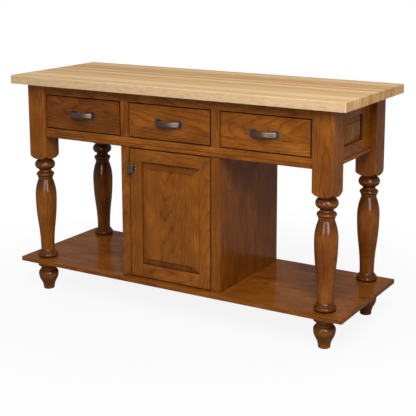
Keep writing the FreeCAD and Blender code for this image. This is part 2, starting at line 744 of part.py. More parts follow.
def make_end_aprons():
    width = 2 * leg_inner_y
    opening = (size.side_stile_width - width / 2, width / 2 - size.side_stile_width)
    levels = (size.side_rail_low_height, apron_height - size.side_rail_high_height)
    face = leg_spread_x / 2 - size.side_setback
    for label, side in (("left", -1), ("right", 1)):
        name = f"{label}_apron"
        ring = frame_blank(name, width, apron_height, [opening], levels)
        parts = framed(name, ring, width, apron_height, opening, levels, rails_through=True)
        spot = (side * face, 0, rail_under, 90 * side)
        node(group(f"{name}_members", [place(part, *spot) for part in parts]), f"{name}_frame")
        panel = raised_panel(f"{name}_raised", opening, levels, size.side_bevel_width)
        node(place(panel, *spot), f"{name}_panel")


def framed(name, ring, width, height, opening, levels, rails_through=False):
    """The two stiles, the lower rail and the upper rail of a ring; the stiles or the rails run through."""
    half = dim(width) / 2 + OVERCUT
    stile_levels = levels if rails_through else (-OVERCUT, height + OVERCUT)
    rail_span = (-half, half) if rails_through else opening
    return [frame_part(f"{name}_stile_left", ring, (-half, opening[0]), stile_levels),
            frame_part(f"{name}_stile_right", ring, (opening[1], half), stile_levels),
            frame_part(f"{name}_rail_low", ring, rail_span, (-OVERCUT, levels[0])),
            frame_part(f"{name}_rail_high", ring, rail_span, (levels[1], height + OVERCUT))]


def make_back_apron():
    end = leg_inner_x - size.stile_width
    openings = [(-end, -stile_outer), (-middle_half, middle_half), (stile_outer, end)]
    levels = (size.back_rail_low_height, apron_height - size.back_rail_high_height)
    ring = frame_blank("back", apron_length, apron_height, openings, levels)
    across = about(apron_length + 2 * OVERCUT)
    members = []
    for level, span in enumerate([(-OVERCUT, levels[0]), (levels[1], apron_height + OVERCUT)]):
        plain = frame_part(f"back_rail_{level}_plain", ring, across, span)
        members.append(tenoned(f"back_rail_{level}", plain, False, level))
    for hand, side in (("left", -1), ("right", 1)):
        inner_span = sided((middle_half, stile_outer), side)
        end_span = sided((end, leg_inner_x + OVERCUT), side)
        members.append(frame_part(f"back_stile_{hand}", ring, inner_span, levels))
        members.append(frame_part(f"back_end_stile_{hand}", ring, end_span, levels))
    spot = (0, back_face, rail_under, 180)
    node(group("back_members", [place(member, *spot) for member in members]), "back_apron_frame")
    panels = []
    for number, opening in enumerate(openings):
        panels.append(place(raised_panel(f"back_panel_{number}", opening, levels), *spot))
    node(group("back_panels", panels), "back_apron_panels")


def shelf_pin_places():
    """The heights and depths of the four pins under the cabinet's shelf."""
    front = front_inner + size.cabinet_shelf_setback + size.shelf_pin_inset
    rear = back_inner - size.cabinet_shelf_rear_gap - size.shelf_pin_inset
    level = shelf_top + size.cabinet_shelf_height
    return [(front, level), (rear, level)]


def make_cabinet():
    pins = []
    for label, side in (("left", -1), ("right", 1)):
        blank = board(f"cabinet_side_{label}_blank", sided((side_inner, stile_outer), side),
                      (front_inner, back_inner), (shelf_top, rail_under))
        holes = []
        for number, (depth, level) in enumerate(shelf_pin_places()):
            inward = (-side, 0, 0)
            name = f"shelf_pin_{label}_{number}"
            seat = size.shelf_pin_seat
            holes.append(rod(f"{name}_hole", size.shelf_pin_radius + size.bore_clearance,
                             (side * (side_inner + seat), depth, level), inward, seat + OVERCUT))
            pins.append(rod(name, size.shelf_pin_radius, (side * (side_inner + seat), depth, level), inward,
                            seat + size.shelf_pin_reach))
        node(cut(f"cabinet_side_{label}_bored", blank, holes), f"cabinet_side_{label}")
    node(group("cabinet_pins", pins), "shelf_pins")
    stiles = []
    in_front = on_front(front_face.value)
    for hand, side in (("left", -1), ("right", 1)):
        stile = board(f"cabinet_stile_{hand}_blank", sided((middle_half, stile_outer), side),
                      (front_face, front_inner), (shelf_top, rail_under))
        stiles.append(rounded(f"cabinet_stile_{hand}", stile, size.arris_round, size.frame_thickness,
                              lambda edge: upright(edge) and in_front(edge)))
    node(group("cabinet_stile_pair", stiles), "cabinet_stiles")
    low = shelf_top + size.cabinet_shelf_height + size.shelf_pin_radius
    node(board("cabinet_inner_shelf", about(2 * (side_inner - size.cabinet_shelf_gap)),
               (front_inner + size.cabinet_shelf_setback, back_inner - size.cabinet_shelf_rear_gap),
               (low, low + size.side_thickness)), "cabinet_shelf")
    make_cabinet_back()


def make_cabinet_back():
    width = 2 * stile_outer
    half_open = stile_outer - size.door_stile_width
    opening = (-half_open, half_open)
    levels = (size.door_rail_height, cabinet_height - size.door_rail_height)
    ring = frame_blank("cabinet_back", width, cabinet_height, [opening], levels)
    parts = framed("cabinet_back", ring, width, cabinet_height, opening, levels)
    spot = (0, back_face, shelf_top, 180)
    node(group("cabinet_back_members", [place(part, *spot) for part in parts]), "cabinet_back_frame")
    node(place(raised_panel("cabinet_back_raised", opening, levels), *spot), "cabinet_back_panel")


def make_drawer_bays():
    """Partitions beside the middle drawer, and cleats between the legs for the outer slides."""
    partitions = []
    cleats = []
    apron_inner = leg_spread_x / 2 - size.side_setback - size.frame_thickness
    for hand, side in (("left", -1), ("right", 1)):
        partitions.append(board(f"partition_{hand}", sided((middle_half, stile_outer), side),
                                (front_inner, back_inner), (rail_under, under_top)))
        cleats.append(board(f"cleat_{hand}", sided((bay_end, apron_inner), side), about(2 * leg_inner_y),
                            (drawer_low, drawer_high)))
    node(group("partitions", partitions), "drawer_partitions")
    node(group("cleats", cleats), "slide_cleats")


def slide_channel(name, wall_x, side, lips, half_height, opens_inwards):
    """One bent-sheet member of a slide: an upright web with a lip along each edge.

    Distances run from the wall, and side is 1 where the wall is to the left of the drawer.
    """
    level = drawer_low + size.box_lift + size.box_height / 2
    front, back = front_inner + size.slide_inset, back_inner - size.box_rear_gap
    near, far = lips
    hollow_x = (near + size.slide_wall, far + OVERCUT) if opens_inwards else \
        (near - OVERCUT, far - size.slide_wall)

    def from_wall(pair):
        low, high = sided(pair, side)
        return (wall_x + low, wall_x + high)

    body = board(f"{name}_body", from_wall(lips), (front, back), about(2 * half_height, level))
    hollow = board(f"{name}_hollow", from_wall(hollow_x), (front - OVERCUT, back + OVERCUT),
                   about(2 * (half_height - size.slide_wall), level))
    return cut(name, body, [hollow])


def slide_set(name, low, high):
    """The outer, middle and inner members at the two sides of a drawer's opening."""
    full = size.slide_thickness
    stand = size.slide_middle_stand
    nesting = size.slide_wall + size.slide_run
    half = size.slide_height / 2
    inner_edge = stand + size.slide_wall + size.slide_inner_gap
    members = {"outer": [], "middle": [], "inner": []}
    for hand, side, wall_x in (("left", 1, low), ("right", -1, high)):
        sections = {"outer": ((dim(0), full - size.slide_outer_short), half, True),
                    "middle": ((stand, full - size.slide_middle_short), half - nesting, True),
                    "inner": ((inner_edge, full), half - 2 * nesting, False)}
        for member, section in sections.items():
            members[member].append(slide_channel(f"{name}_slide_{member}_{hand}", wall_x, side, *section))
    return members


def pull_bow():
    """The bend of a pull's bar at its face, and how far behind the drawer's face that bend is centred."""
    half = size.pull_centres / 2 + size.pull_overhang
    bow = size.pull_stand - size.pull_end_stand
    bend = (half * half + bow * bow) / (2 * bow)
    return bend, bend - size.pull_stand


def pull_bar(name):
    """A flat bar, bowed outwards, drawn in plan and as tall as the bar."""
    half = size.pull_centres / 2 + size.pull_overhang
    bend, centre = pull_bow()
    inner_bend = bend - size.pull_bar_thickness
    inner_end = half * inner_bend / bend
    inner_depth = centre - (centre + size.pull_end_stand) * inner_bend / bend
    points = [(-half, -size.pull_end_stand), (half, -size.pull_end_stand),
              (inner_end, inner_depth), (-inner_end, inner_depth)]
    body = doc.addObject("PartDesign::Body", name)
    sketch = sketch_on(body, "XY_Plane", f"{name}_plan")
    draw(sketch, points, [(bend, True), None, (inner_bend, False), None])
    pad = body.newObject("PartDesign::Pad", f"{name}_pad")
    pad.Profile = sketch
    pad.SideType = "Symmetric"
    bind(pad, "Length", size.pull_bar_height)
    doc.recompute()
    fillet = body.newObject("PartDesign::Fillet", f"{name}_soft")
    fillet.Base = (pad, [f"Edge{number}" for number in range(1, len(pad.Shape.Edges) + 1)])
    bind(fillet, "Radius", least(size.pull_bar_round, size.pull_bar_thickness * WALL_SHARE))
    return body


def make_pull(name, middle_x, middle_z):
    """A bowed bar on two plates; its screws come through the drawer front."""
    pieces = [pull_bar(f"{name}_bar")]
    holes = []
    bend, centre = pull_bow()
    bar_middle = bend - size.pull_bar_thickness / 2
    post_reach = (bar_middle * bar_middle - size.pull_centres * size.pull_centres / 4).root() - centre
    for hand, side in (("left", -1), ("right", 1)):
        at = side * size.pull_centres / 2
        plate = board(f"{name}_plate_{hand}_blank", about(size.pull_plate_width, at),
                      (-size.pull_plate_thickness, 0), about(size.pull_plate_height))
        pieces.append(rounded(f"{name}_plate_{hand}", plate, size.pull_plate_round, size.pull_plate_width,
                              lambda edge: abs(edge.Vertexes[0].Y - edge.Vertexes[-1].Y) > TOUCH))
        pieces.append(rod(f"{name}_post_{hand}", size.pull_post_radius, (at, 0, 0), (0, -1, 0), post_reach))
        holes.append(rod(f"{name}_thread_{hand}", size.screw_radius + size.bore_clearance, (at, OVERCUT, 0),
                         (0, -1, 0), size.screw_bite + size.glue_gap + OVERCUT))
    pull = cut(f"{name}_tapped", fused(f"{name}_solid", pieces), holes)
    node(place(pull, middle_x, front_face, middle_z), name)


def screw(name, x, z):
    """A screw from the back of a front, with its head inside."""
    inside = size.screw_head_height / 2
    head = rod(f"{name}_head", size.screw_head_radius, (x, front_inner, z), (0, 1, 0), size.screw_head_height)
    shank = rod(f"{name}_shank", size.screw_radius, (x, front_inner + inside, z), (0, -1, 0),
                inside + size.frame_thickness + size.screw_bite)
    return fused(name, [head, shank])


def screw_hole(name, x, z, start_y, depth):
    return rod(name, size.screw_radius + size.screw_clearance, (x, start_y, z), (0, 1, 0), depth)


def make_drawer(name, low, high):
    """A front, a box with its bottom in grooves, a pull with its screws and the slide members."""
    middle_x = (low + high) / 2
    middle_z = (drawer_low + drawer_high) / 2
    box_low = low + size.slide_thickness
    box_high = high - size.slide_thickness
    side = size.box_side_thickness
    base = drawer_low + size.box_lift
    box_back = back_inner - size.box_rear_gap
    floor_low = base + size.box_bottom_lift
    floor_high = floor_low + size.box_bottom_thickness
    groove_x = (box_low + side - size.box_groove_depth, box_high - side + size.box_groove_depth)
    groove_z = (floor_low - size.box_fit, floor_high)
    groove_end = front_inner - size.box_groove_depth

    blank = board(f"{name}_front_blank", (low + size.reveal, high - size.reveal), (front_face, front_inner),
                  (drawer_low + size.reveal, drawer_high - size.reveal))
    eased = rounded(f"{name}_front_eased", blank, size.arris_round, size.frame_thickness,
                    on_front(front_face.value))
    tools = [board(f"{name}_front_groove", groove_x, (groove_end, front_inner + OVERCUT), groove_z)]
    screws = []
    for hand, at in (("left", middle_x - size.pull_centres / 2), ("right", middle_x + size.pull_centres / 2)):
        tools.append(screw_hole(f"{name}_hole_{hand}", at, middle_z, front_face - OVERCUT,
                                size.frame_thickness + 2 * OVERCUT))
        screws.append(screw(f"{name}_screw_{hand}", at, middle_z))
    node(cut(f"{name}_front_bored", eased, tools), f"{name}_front")
    node(group(f"{name}_screw_pair", screws), f"{name}_pull_screws")
    make_pull(f"{name}_pull", middle_x, middle_z)

    run = (front_inner, box_back)
    walls = []
    for hand, x in (("left", (box_low, box_low + side)), ("right", (box_high - side, box_high))):
        wall = board(f"{name}_side_{hand}_blank", x, run, (base, base + size.box_height))
        groove = board(f"{name}_side_{hand}_groove", groove_x, (front_inner - OVERCUT, box_back + OVERCUT),
                       groove_z)
        walls.append(cut(f"{name}_side_{hand}", wall, [groove]))
    walls.append(board(f"{name}_back", (box_low + side, box_high - side), (box_back - side, box_back),
                       (floor_high, base + size.box_height)))
    node(group(f"{name}_walls", walls), f"{name}_box")
    node(board(f"{name}_floor", (groove_x[0] + size.box_fit, groove_x[1] - size.box_fit),
               (groove_end + size.box_fit, box_back), (floor_low, floor_high)), f"{name}_bottom")
    slides = slide_set(name, low, high)
    node(group(f"{name}_slides_inner", slides["inner"]), f"{name}_slide_inners")
    node(group(f"{name}_slides_middle", slides["middle"]), f"{name}_slide_middles")
    return slides["outer"]


def make_drawers():
    bays = {"left_drawer": (-bay_end, -stile_outer), "middle_drawer": (-middle_half, middle_half),
            "right_drawer": (stile_outer, bay_end)}
    outer = []
    for name, (low, high) in bays.items():
        outer += make_drawer(name, low, high)
    node(group("outer_channels", outer), "slide_outer_channels")


def make_door():
    half_open = door_width / 2 - size.door_stile_width
    opening = (-half_open, half_open)
    levels = (size.door_rail_height, door_height - size.door_rail_height)
    ring = frame_blank("door", door_width, door_height, [opening], levels)
    ring = eased_outside("door", ring, door_width, door_height)
    left, right, rail_low, rail_high = framed("door", ring, door_width, door_height, opening, levels)
    spot = (0, front_face, shelf_top + size.reveal)

    knob_x = size.knob_inset - door_width / 2
    knob_z = door_height - size.knob_drop
    left = cut("door_stile_left_bored", left, [screw_hole("door_knob_hole", knob_x, knob_z, dim(-OVERCUT),
                                                          size.frame_thickness + 2 * OVERCUT)])
    thick = size.leaf_thickness
    pockets = [leaf("door_pocket_low", (-OVERCUT, thick), size.glue_gap),
               leaf("door_pocket_high", (door_height - thick, door_height + OVERCUT), size.glue_gap)]
    for pocket in pockets:
        bind(pocket, "Placement.Base.y", size.leaf_face_gap - size.glue_gap)
    depth = thick + size.pin_tip + size.screw_clearance
    for name, start in (("door_pin_hole_low", dim(-OVERCUT)), ("door_pin_hole_high", door_height - depth)):
        pockets.append(rod(name, size.pin_radius + size.screw_clearance, (pivot_x, size.pivot_back, start),
                           (0, 0, 1), depth + OVERCUT))
    right = cut("door_stile_right_pocketed", right, pockets)
    node(group("door_stile_pair", [place(left, *spot), place(right, *spot)]), "door_stiles")
    node(group("door_rail_pair", [place(rail_low, *spot), place(rail_high, *spot)]), "door_rails")
    node(place(raised_panel("door_raised", opening, levels), *spot), "door_panel")
    make_knob(knob_x, shelf_top + size.reveal + knob_z)
    make_hinges()
    make_catch()


def make_knob(x, z):
    """A square knob on a square plate; its screw comes through the door's stile."""
    plate = board("knob_plate_blank", about(size.knob_plate_side), (-size.knob_plate_thickness, 0),
                  about(size.knob_plate_side))
    plate_eased = rounded("knob_plate", plate, size.knob_plate_round, size.knob_plate_thickness,
                          on_front(-size.knob_plate_thickness.value))
    head = board("knob_head_blank", about(size.knob_head_side),
                 (-size.knob_stand, size.knob_head_thickness - size.knob_stand), about(size.knob_head_side))
    head_soft = rounded("knob_head", head, size.knob_head_round, size.knob_head_thickness)
    post = rod("knob_post", size.knob_post_radius, (0, 0, 0), (0, -1, 0),
               size.knob_stand - size.knob_head_thickness / 2)
    hole = rod("knob_thread", size.screw_radius + size.bore_clearance, (0, OVERCUT, 0), (0, -1, 0),
               size.screw_bite + size.glue_gap + OVERCUT)
    knob = cut("knob_tapped", fused("knob_solid", [plate_eased, post, head_soft]), [hole])
    node(place(knob, x, front_face, z), "door_knob")
    node(screw("knob_fixing", x, z), "knob_screw")


def make_hinges():
    """Pivot hinges: leaves let into the shelf, the rail and the door, with a pin on each fixed leaf."""
    thick = size.leaf_thickness
    door_low = shelf_top + size.reveal
    door_high = rail_under - size.reveal
    fixed_low = [leaf("hinge_fixed_low_plate", (shelf_top - thick, shelf_top)),
                 rod("hinge_collar", size.collar_radius, (pivot_x, pivot_y, shelf_top), (0, 0, 1),
                     size.reveal - size.collar_play),
                 rod("hinge_pin_low", size.pin_radius, (pivot_x, pivot_y, shelf_top - thick / 2), (0, 0, 1),
                     thick / 2 + size.reveal + thick + size.pin_tip)]
    fixed_high = [leaf("hinge_fixed_high_plate", (rail_under, rail_under + thick)),
                  rod("hinge_pin_high", size.pin_radius, (pivot_x, pivot_y, rail_under + thick / 2),
                      (0, 0, -1), thick / 2 + size.reveal + thick + size.pin_tip)]
    node(group("hinges_fixed", [fused("hinge_fixed_low", fixed_low), fused("hinge_fixed_high", fixed_high)]),
         "hinge_leaves_frame")
    moving = []
    for name, levels in (("low", (door_low, door_low + thick)), ("high", (door_high - thick, door_high))):
        hole = rod(f"hinge_door_{name}_hole", size.pin_radius + size.pin_clearance,
                   (pivot_x, pivot_y, levels[0] - OVERCUT), (0, 0, 1), thick + 2 * OVERCUT)
        moving.append(cut(f"hinge_door_{name}", leaf(f"hinge_door_{name}_plate", levels), [hole]))
    node(group("hinges_moving", moving), "hinge_leaves_door")


def make_catch():
    """A magnetic catch behind the rail, and the steel plate on the door that it holds."""
    across = about(size.catch_width, -size.catch_offset)
    plate_back = front_inner + size.catch_plate_thickness
    rear = front_inner + size.catch_depth
    foot = board("catch_foot", across, (front_inner, rear), (rail_under, rail_under + size.catch_rise))
    magnets = board("catch_magnets", across, (plate_back + size.catch_gap, rear),
                    (rail_under - size.catch_drop, rail_under + size.catch_rise))
    node(fused("catch", [foot, magnets]), "magnetic_catch")
    plate_high = rail_under - 2 * size.reveal
    node(board("catch_steel", across, (front_inner, plate_back),
               (plate_high - size.catch_plate_height, plate_high)), "catch_plate")


def make_clips():
    """Angle clips in the corner between the front and back frames and the top."""
    clips = []
    thick = size.clip_thickness
    arm = size.clip_arm
    for row, wall, way in (("front", front_inner, 1), ("back", back_inner, -1)):
        for number, at in enumerate((-size.clip_far, -size.clip_near, size.clip_near, size.clip_far)):
            name = f"clip_{row}_{number}"
            across = about(size.clip_width, at)
            reach = (wall, wall + arm) if way > 0 else (wall - arm, wall)
            sheet_at = (wall, wall + thick) if way > 0 else (wall - thick, wall)
            flat = board(f"{name}_flat", across, reach, (under_top - thick, under_top))
            upturn = board(f"{name}_upturn", across, sheet_at, (under_top - arm, under_top))
            clips.append(fused(name, [flat, upturn]))
    node(group("clips", clips), "top_clips")


make_worktop()
make_legs()
make_feet()
make_shelf()
make_front_frame()
make_beads()
make_end_aprons()
make_back_apron()
make_cabinet()
make_drawer_bays()
make_drawers()
make_door()
make_clips()
doc.recompute()

faults = [thing.Name for thing in doc.Objects if {"Invalid", "Error"} & set(thing.State)]
for piece in nodes:
    if piece.Shape.isNull() or not piece.Shape.isValid() or piece.Shape.Volume <= 0 or not piece.Shape.Solids:
        faults.append(piece.Label)
if faults:
    raise SystemExit("not built: " + ", ".join(faults))

os.makedirs("parts", exist_ok=True)
for piece in nodes:
    piece.Shape.exportStep(f"parts/{piece.Label}.step")
    print(piece.Label, len(piece.Shape.Solids), round(piece.Shape.Volume))
print(len(nodes), "sub-parts written")
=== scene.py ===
"""The looks of a kitchen island: stained base, oiled butcher-block top, dark pewter pulls."""

import json
import math

import bpy
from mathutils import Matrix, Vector


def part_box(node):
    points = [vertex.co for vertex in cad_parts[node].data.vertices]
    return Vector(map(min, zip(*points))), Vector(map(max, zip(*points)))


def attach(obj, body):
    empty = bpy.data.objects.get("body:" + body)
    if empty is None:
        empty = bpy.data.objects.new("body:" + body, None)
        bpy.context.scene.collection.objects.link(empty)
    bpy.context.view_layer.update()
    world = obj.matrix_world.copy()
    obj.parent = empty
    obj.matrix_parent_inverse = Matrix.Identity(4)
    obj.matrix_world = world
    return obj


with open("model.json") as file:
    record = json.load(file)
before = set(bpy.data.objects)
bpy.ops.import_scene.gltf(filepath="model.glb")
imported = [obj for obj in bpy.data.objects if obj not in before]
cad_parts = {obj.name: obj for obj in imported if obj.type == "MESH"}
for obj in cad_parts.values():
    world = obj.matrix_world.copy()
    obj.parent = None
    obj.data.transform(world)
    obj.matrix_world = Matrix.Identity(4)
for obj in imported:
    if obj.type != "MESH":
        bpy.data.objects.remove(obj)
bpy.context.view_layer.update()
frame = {"nodes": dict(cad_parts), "record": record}

nodes = frame["nodes"]
MM = 0.001
WELD = 0.01 * MM         # corners closer than this are one corner
DRAWERS = ("left_drawer", "middle_drawer", "right_drawer")


def linear(code):
    """A hex sRGB colour as linear red, green, blue and alpha."""
    shares = [int(code[at:at + 2], 16) / 255 for at in (1, 3, 5)]
    return tuple(s / 12.92 if s <= 0.04045 else ((s + 0.055) / 1.055) ** 2.4 for s in shares) + (1.0,)


def add(tree, kind, inputs=None, **settings):
    """Adds a node with its settings; an input takes a value, an output, or a node's first output."""
    made = tree.nodes.new(kind)
    for key, value in settings.items():
        setattr(made, key, value)
    for key, value in (inputs or {}).items():
        if isinstance(value, bpy.types.Node):
            value = value.outputs[0]
        if isinstance(value, bpy.types.NodeSocket):
            tree.links.new(value, made.inputs[key])
        else:
            made.inputs[key].default_value = value
    return made


def paint_stops(ramp, stops):
    """Sets a colour ramp to (place, hex colour) pairs."""
    points = ramp.color_ramp.elements
    while len(points) < len(stops):
        points.new(0.5)
    for point, (place, code) in zip(points, stops):
        point.position = place
        point.color = linear(code)


def new_material(name):
    """A material that holds one Principled shader, with its tree and shader."""
    made = bpy.data.materials.new(name)
    made.use_nodes = True
    tree = made.node_tree
    tree.nodes.clear()
    shader = add(tree, "ShaderNodeBsdfPrincipled")
    add(tree, "ShaderNodeOutputMaterial", {"Surface": shader})
    return made, tree, shader


def new_tree(name, inputs):
    """A geometry tree with named inputs besides its geometry, and its input and output nodes."""
    tree = bpy.data.node_groups.new(name, "GeometryNodeTree")
    tree.interface.new_socket("Geometry", in_out="INPUT", socket_type="NodeSocketGeometry")
    for label, kind in inputs.items():
        tree.interface.new_socket(label, in_out="INPUT", socket_type=f"NodeSocket{kind}")
    tree.interface.new_socket("Geometry", in_out="OUTPUT", socket_type="NodeSocketGeometry")
    return tree, add(tree, "NodeGroupInput"), add(tree, "NodeGroupOutput")


def run_tree(thing, tree, values):
    """Puts a geometry tree on an object, with its inputs set by name."""
    modifier = thing.modifiers.new(tree.name, "NODES")
    modifier.node_group = tree
    for socket in tree.interface.items_tree:
        if socket.in_out == "INPUT" and socket.name in values:
            modifier[socket.identifier] = values[socket.name]


def board_tree():
    """Gives each board of a node its own grain: a frame with X along it, its half sizes, the way its
    grain runs and three random numbers; and the node's stain: its tone and how dark its ends came out;
    and the strength of the painted shade along the gaps round the front that it is part of, and the
    corners of that front. Grain runs along the longest side, or upright where asked for. Solids are
    told apart on a welded copy."""
    stains_and_shade = {"Tone": "Float", "End Stain": "Float", "Gap Shade": "Float", "Front Low": "Vector",
              "Front High": "Vector"}
    tree, start, end = new_tree("board_grain", {"Seed": "Int", "Upright": "Bool", **stains_and_shade})
    geometry = start.outputs["Geometry"]
    welded = add(tree, "GeometryNodeMergeByDistance", {"Geometry": geometry, "Distance": WELD})
    place = add(tree, "GeometryNodeInputPosition")
    island = add(tree, "GeometryNodeInputMeshIsland")
    reach = add(tree, "GeometryNodeFieldMinAndMax", data_type="FLOAT_VECTOR")
    tree.links.new(place.outputs[0], reach.inputs["Value"])
    tree.links.new(island.outputs["Island Index"], reach.inputs["Group ID"])
    nearest = add(tree, "GeometryNodeSampleNearest", {"Geometry": welded, "Sample Position": place})
    found = {}
    for name, kind, value in (("low", "FLOAT_VECTOR", reach.outputs["Min"]),
                              ("high", "FLOAT_VECTOR", reach.outputs["Max"]),
                              ("board", "INT", island.outputs["Island Index"])):
        found[name] = add(tree, "GeometryNodeSampleIndex", data_type=kind)
        tree.links.new(welded.outputs[0], found[name].inputs["Geometry"])
        tree.links.new(value, found[name].inputs["Value"])
        tree.links.new(nearest.outputs[0], found[name].inputs["Index"])
    total = add(tree, "ShaderNodeVectorMath", {0: found["low"], 1: found["high"]}, operation="ADD")
    centre = add(tree, "ShaderNodeVectorMath", {0: total, "Scale": 0.5}, operation="SCALE")
    extent = add(tree, "ShaderNodeVectorMath", {0: found["high"], 1: found["low"]}, operation="SUBTRACT")
    half = add(tree, "ShaderNodeVectorMath", {0: extent, "Scale": 0.5}, operation="SCALE")
    local = add(tree, "ShaderNodeVectorMath", {0: place, 1: centre}, operation="SUBTRACT")
    x, y, z = add(tree, "ShaderNodeSeparateXYZ", {0: half}).outputs
    across = add(tree, "ShaderNodeMath", {0: y, 1: z}, operation="MAXIMUM")
    lying = add(tree, "FunctionNodeBooleanMath", {0: start.outputs["Upright"]}, operation="NOT")
    longest_x = add(tree, "ShaderNodeMath", {0: across, 1: x}, operation="LESS_THAN")
    longest_y = add(tree, "ShaderNodeMath", {0: z, 1: y}, operation="LESS_THAN")
    along_x = add(tree, "FunctionNodeBooleanMath", {0: longest_x, 1: lying}, operation="AND")
    along_y = add(tree, "FunctionNodeBooleanMath", {0: longest_y, 1: lying}, operation="AND")
    choices = []
    for name, vector in (("grain", local), ("half_size", half)):
        x, y, z = add(tree, "ShaderNodeSeparateXYZ", {0: vector}).outputs
        as_y = add(tree, "ShaderNodeCombineXYZ", {0: y, 1: x, 2: z})
        as_z = add(tree, "ShaderNodeCombineXYZ", {0: z, 1: x, 2: y})
        choices.append((name, vector, as_y, as_z))
    choices.append(("grain_way", (1, 0, 0), (0, 1, 0), (0, 0, 1)))
    for name, as_x, as_y, as_z in choices:
        turned = add(tree, "GeometryNodeSwitch", {"Switch": along_y, "False": as_z, "True": as_y},
                     input_type="VECTOR")
        chosen = add(tree, "GeometryNodeSwitch", {"Switch": along_x, "False": turned, "True": as_x},
                     input_type="VECTOR")
        geometry = add(tree, "GeometryNodeStoreNamedAttribute",
                       {"Geometry": geometry, "Name": name, "Value": chosen}, data_type="FLOAT_VECTOR")
    chance = add(tree, "FunctionNodeRandomValue", {"ID": found["board"], "Seed": start.outputs["Seed"]},
                 data_type="FLOAT_VECTOR")
    stored = add(tree, "GeometryNodeStoreNamedAttribute",
                 {"Geometry": geometry, "Name": "chance", "Value": chance}, data_type="FLOAT_VECTOR")
    for label, kind in stains_and_shade.items():
        name = label.lower().replace(" ", "_")
        stored = add(tree, "GeometryNodeStoreNamedAttribute",
                     {"Geometry": stored, "Name": name, "Value": start.outputs[label]},
                     data_type="FLOAT" if kind == "Float" else "FLOAT_VECTOR")
    tree.links.new(stored.outputs[0], end.inputs[0])
    return tree


def board_sizes(tree):
    """Half of a board's size along Y and along Z of its grain."""
    half = add(tree, "ShaderNodeAttribute", attribute_name="half_size").outputs["Vector"]
    _, half_y, half_z = add(tree, "ShaderNodeSeparateXYZ", {0: half}).outputs
    return half_y, half_z


def glued_strips(tree, grain, chance):
    """Three random numbers of each strip that a wide board is glued up from; a narrow one is one strip."""
    strip, narrow_half = 105 * MM, 65 * MM
    mixing = (91.0, 57.0, 23.0)
    half_y, half_z = board_sizes(tree)
    widest = add(tree, "ShaderNodeMath", {0: half_y, 1: half_z}, operation="MAXIMUM")
    wide = add(tree, "ShaderNodeMath", {0: widest, 1: narrow_half}, operation="GREATER_THAN")
    _, y, z = add(tree, "ShaderNodeSeparateXYZ", {0: grain}).outputs
    over = add(tree, "ShaderNodeMath", {0: y, 1: z}, operation="ADD")
    strips = add(tree, "ShaderNodeMath", {0: over, 1: strip}, operation="DIVIDE")
    shifted = add(tree, "ShaderNodeMath", {0: strips, 1: chance}, operation="ADD")
    number = add(tree, "ShaderNodeMath", {0: shifted}, operation="FLOOR")
    own = add(tree, "ShaderNodeMath", {0: number, 1: wide}, operation="MULTIPLY")
    seed = add(tree, "ShaderNodeVectorMath", {0: chance, 1: mixing, 2: own}, operation="MULTIPLY_ADD")
    return add(tree, "ShaderNodeTexWhiteNoise", {"Vector": seed}, noise_dimensions="3D").outputs["Color"]


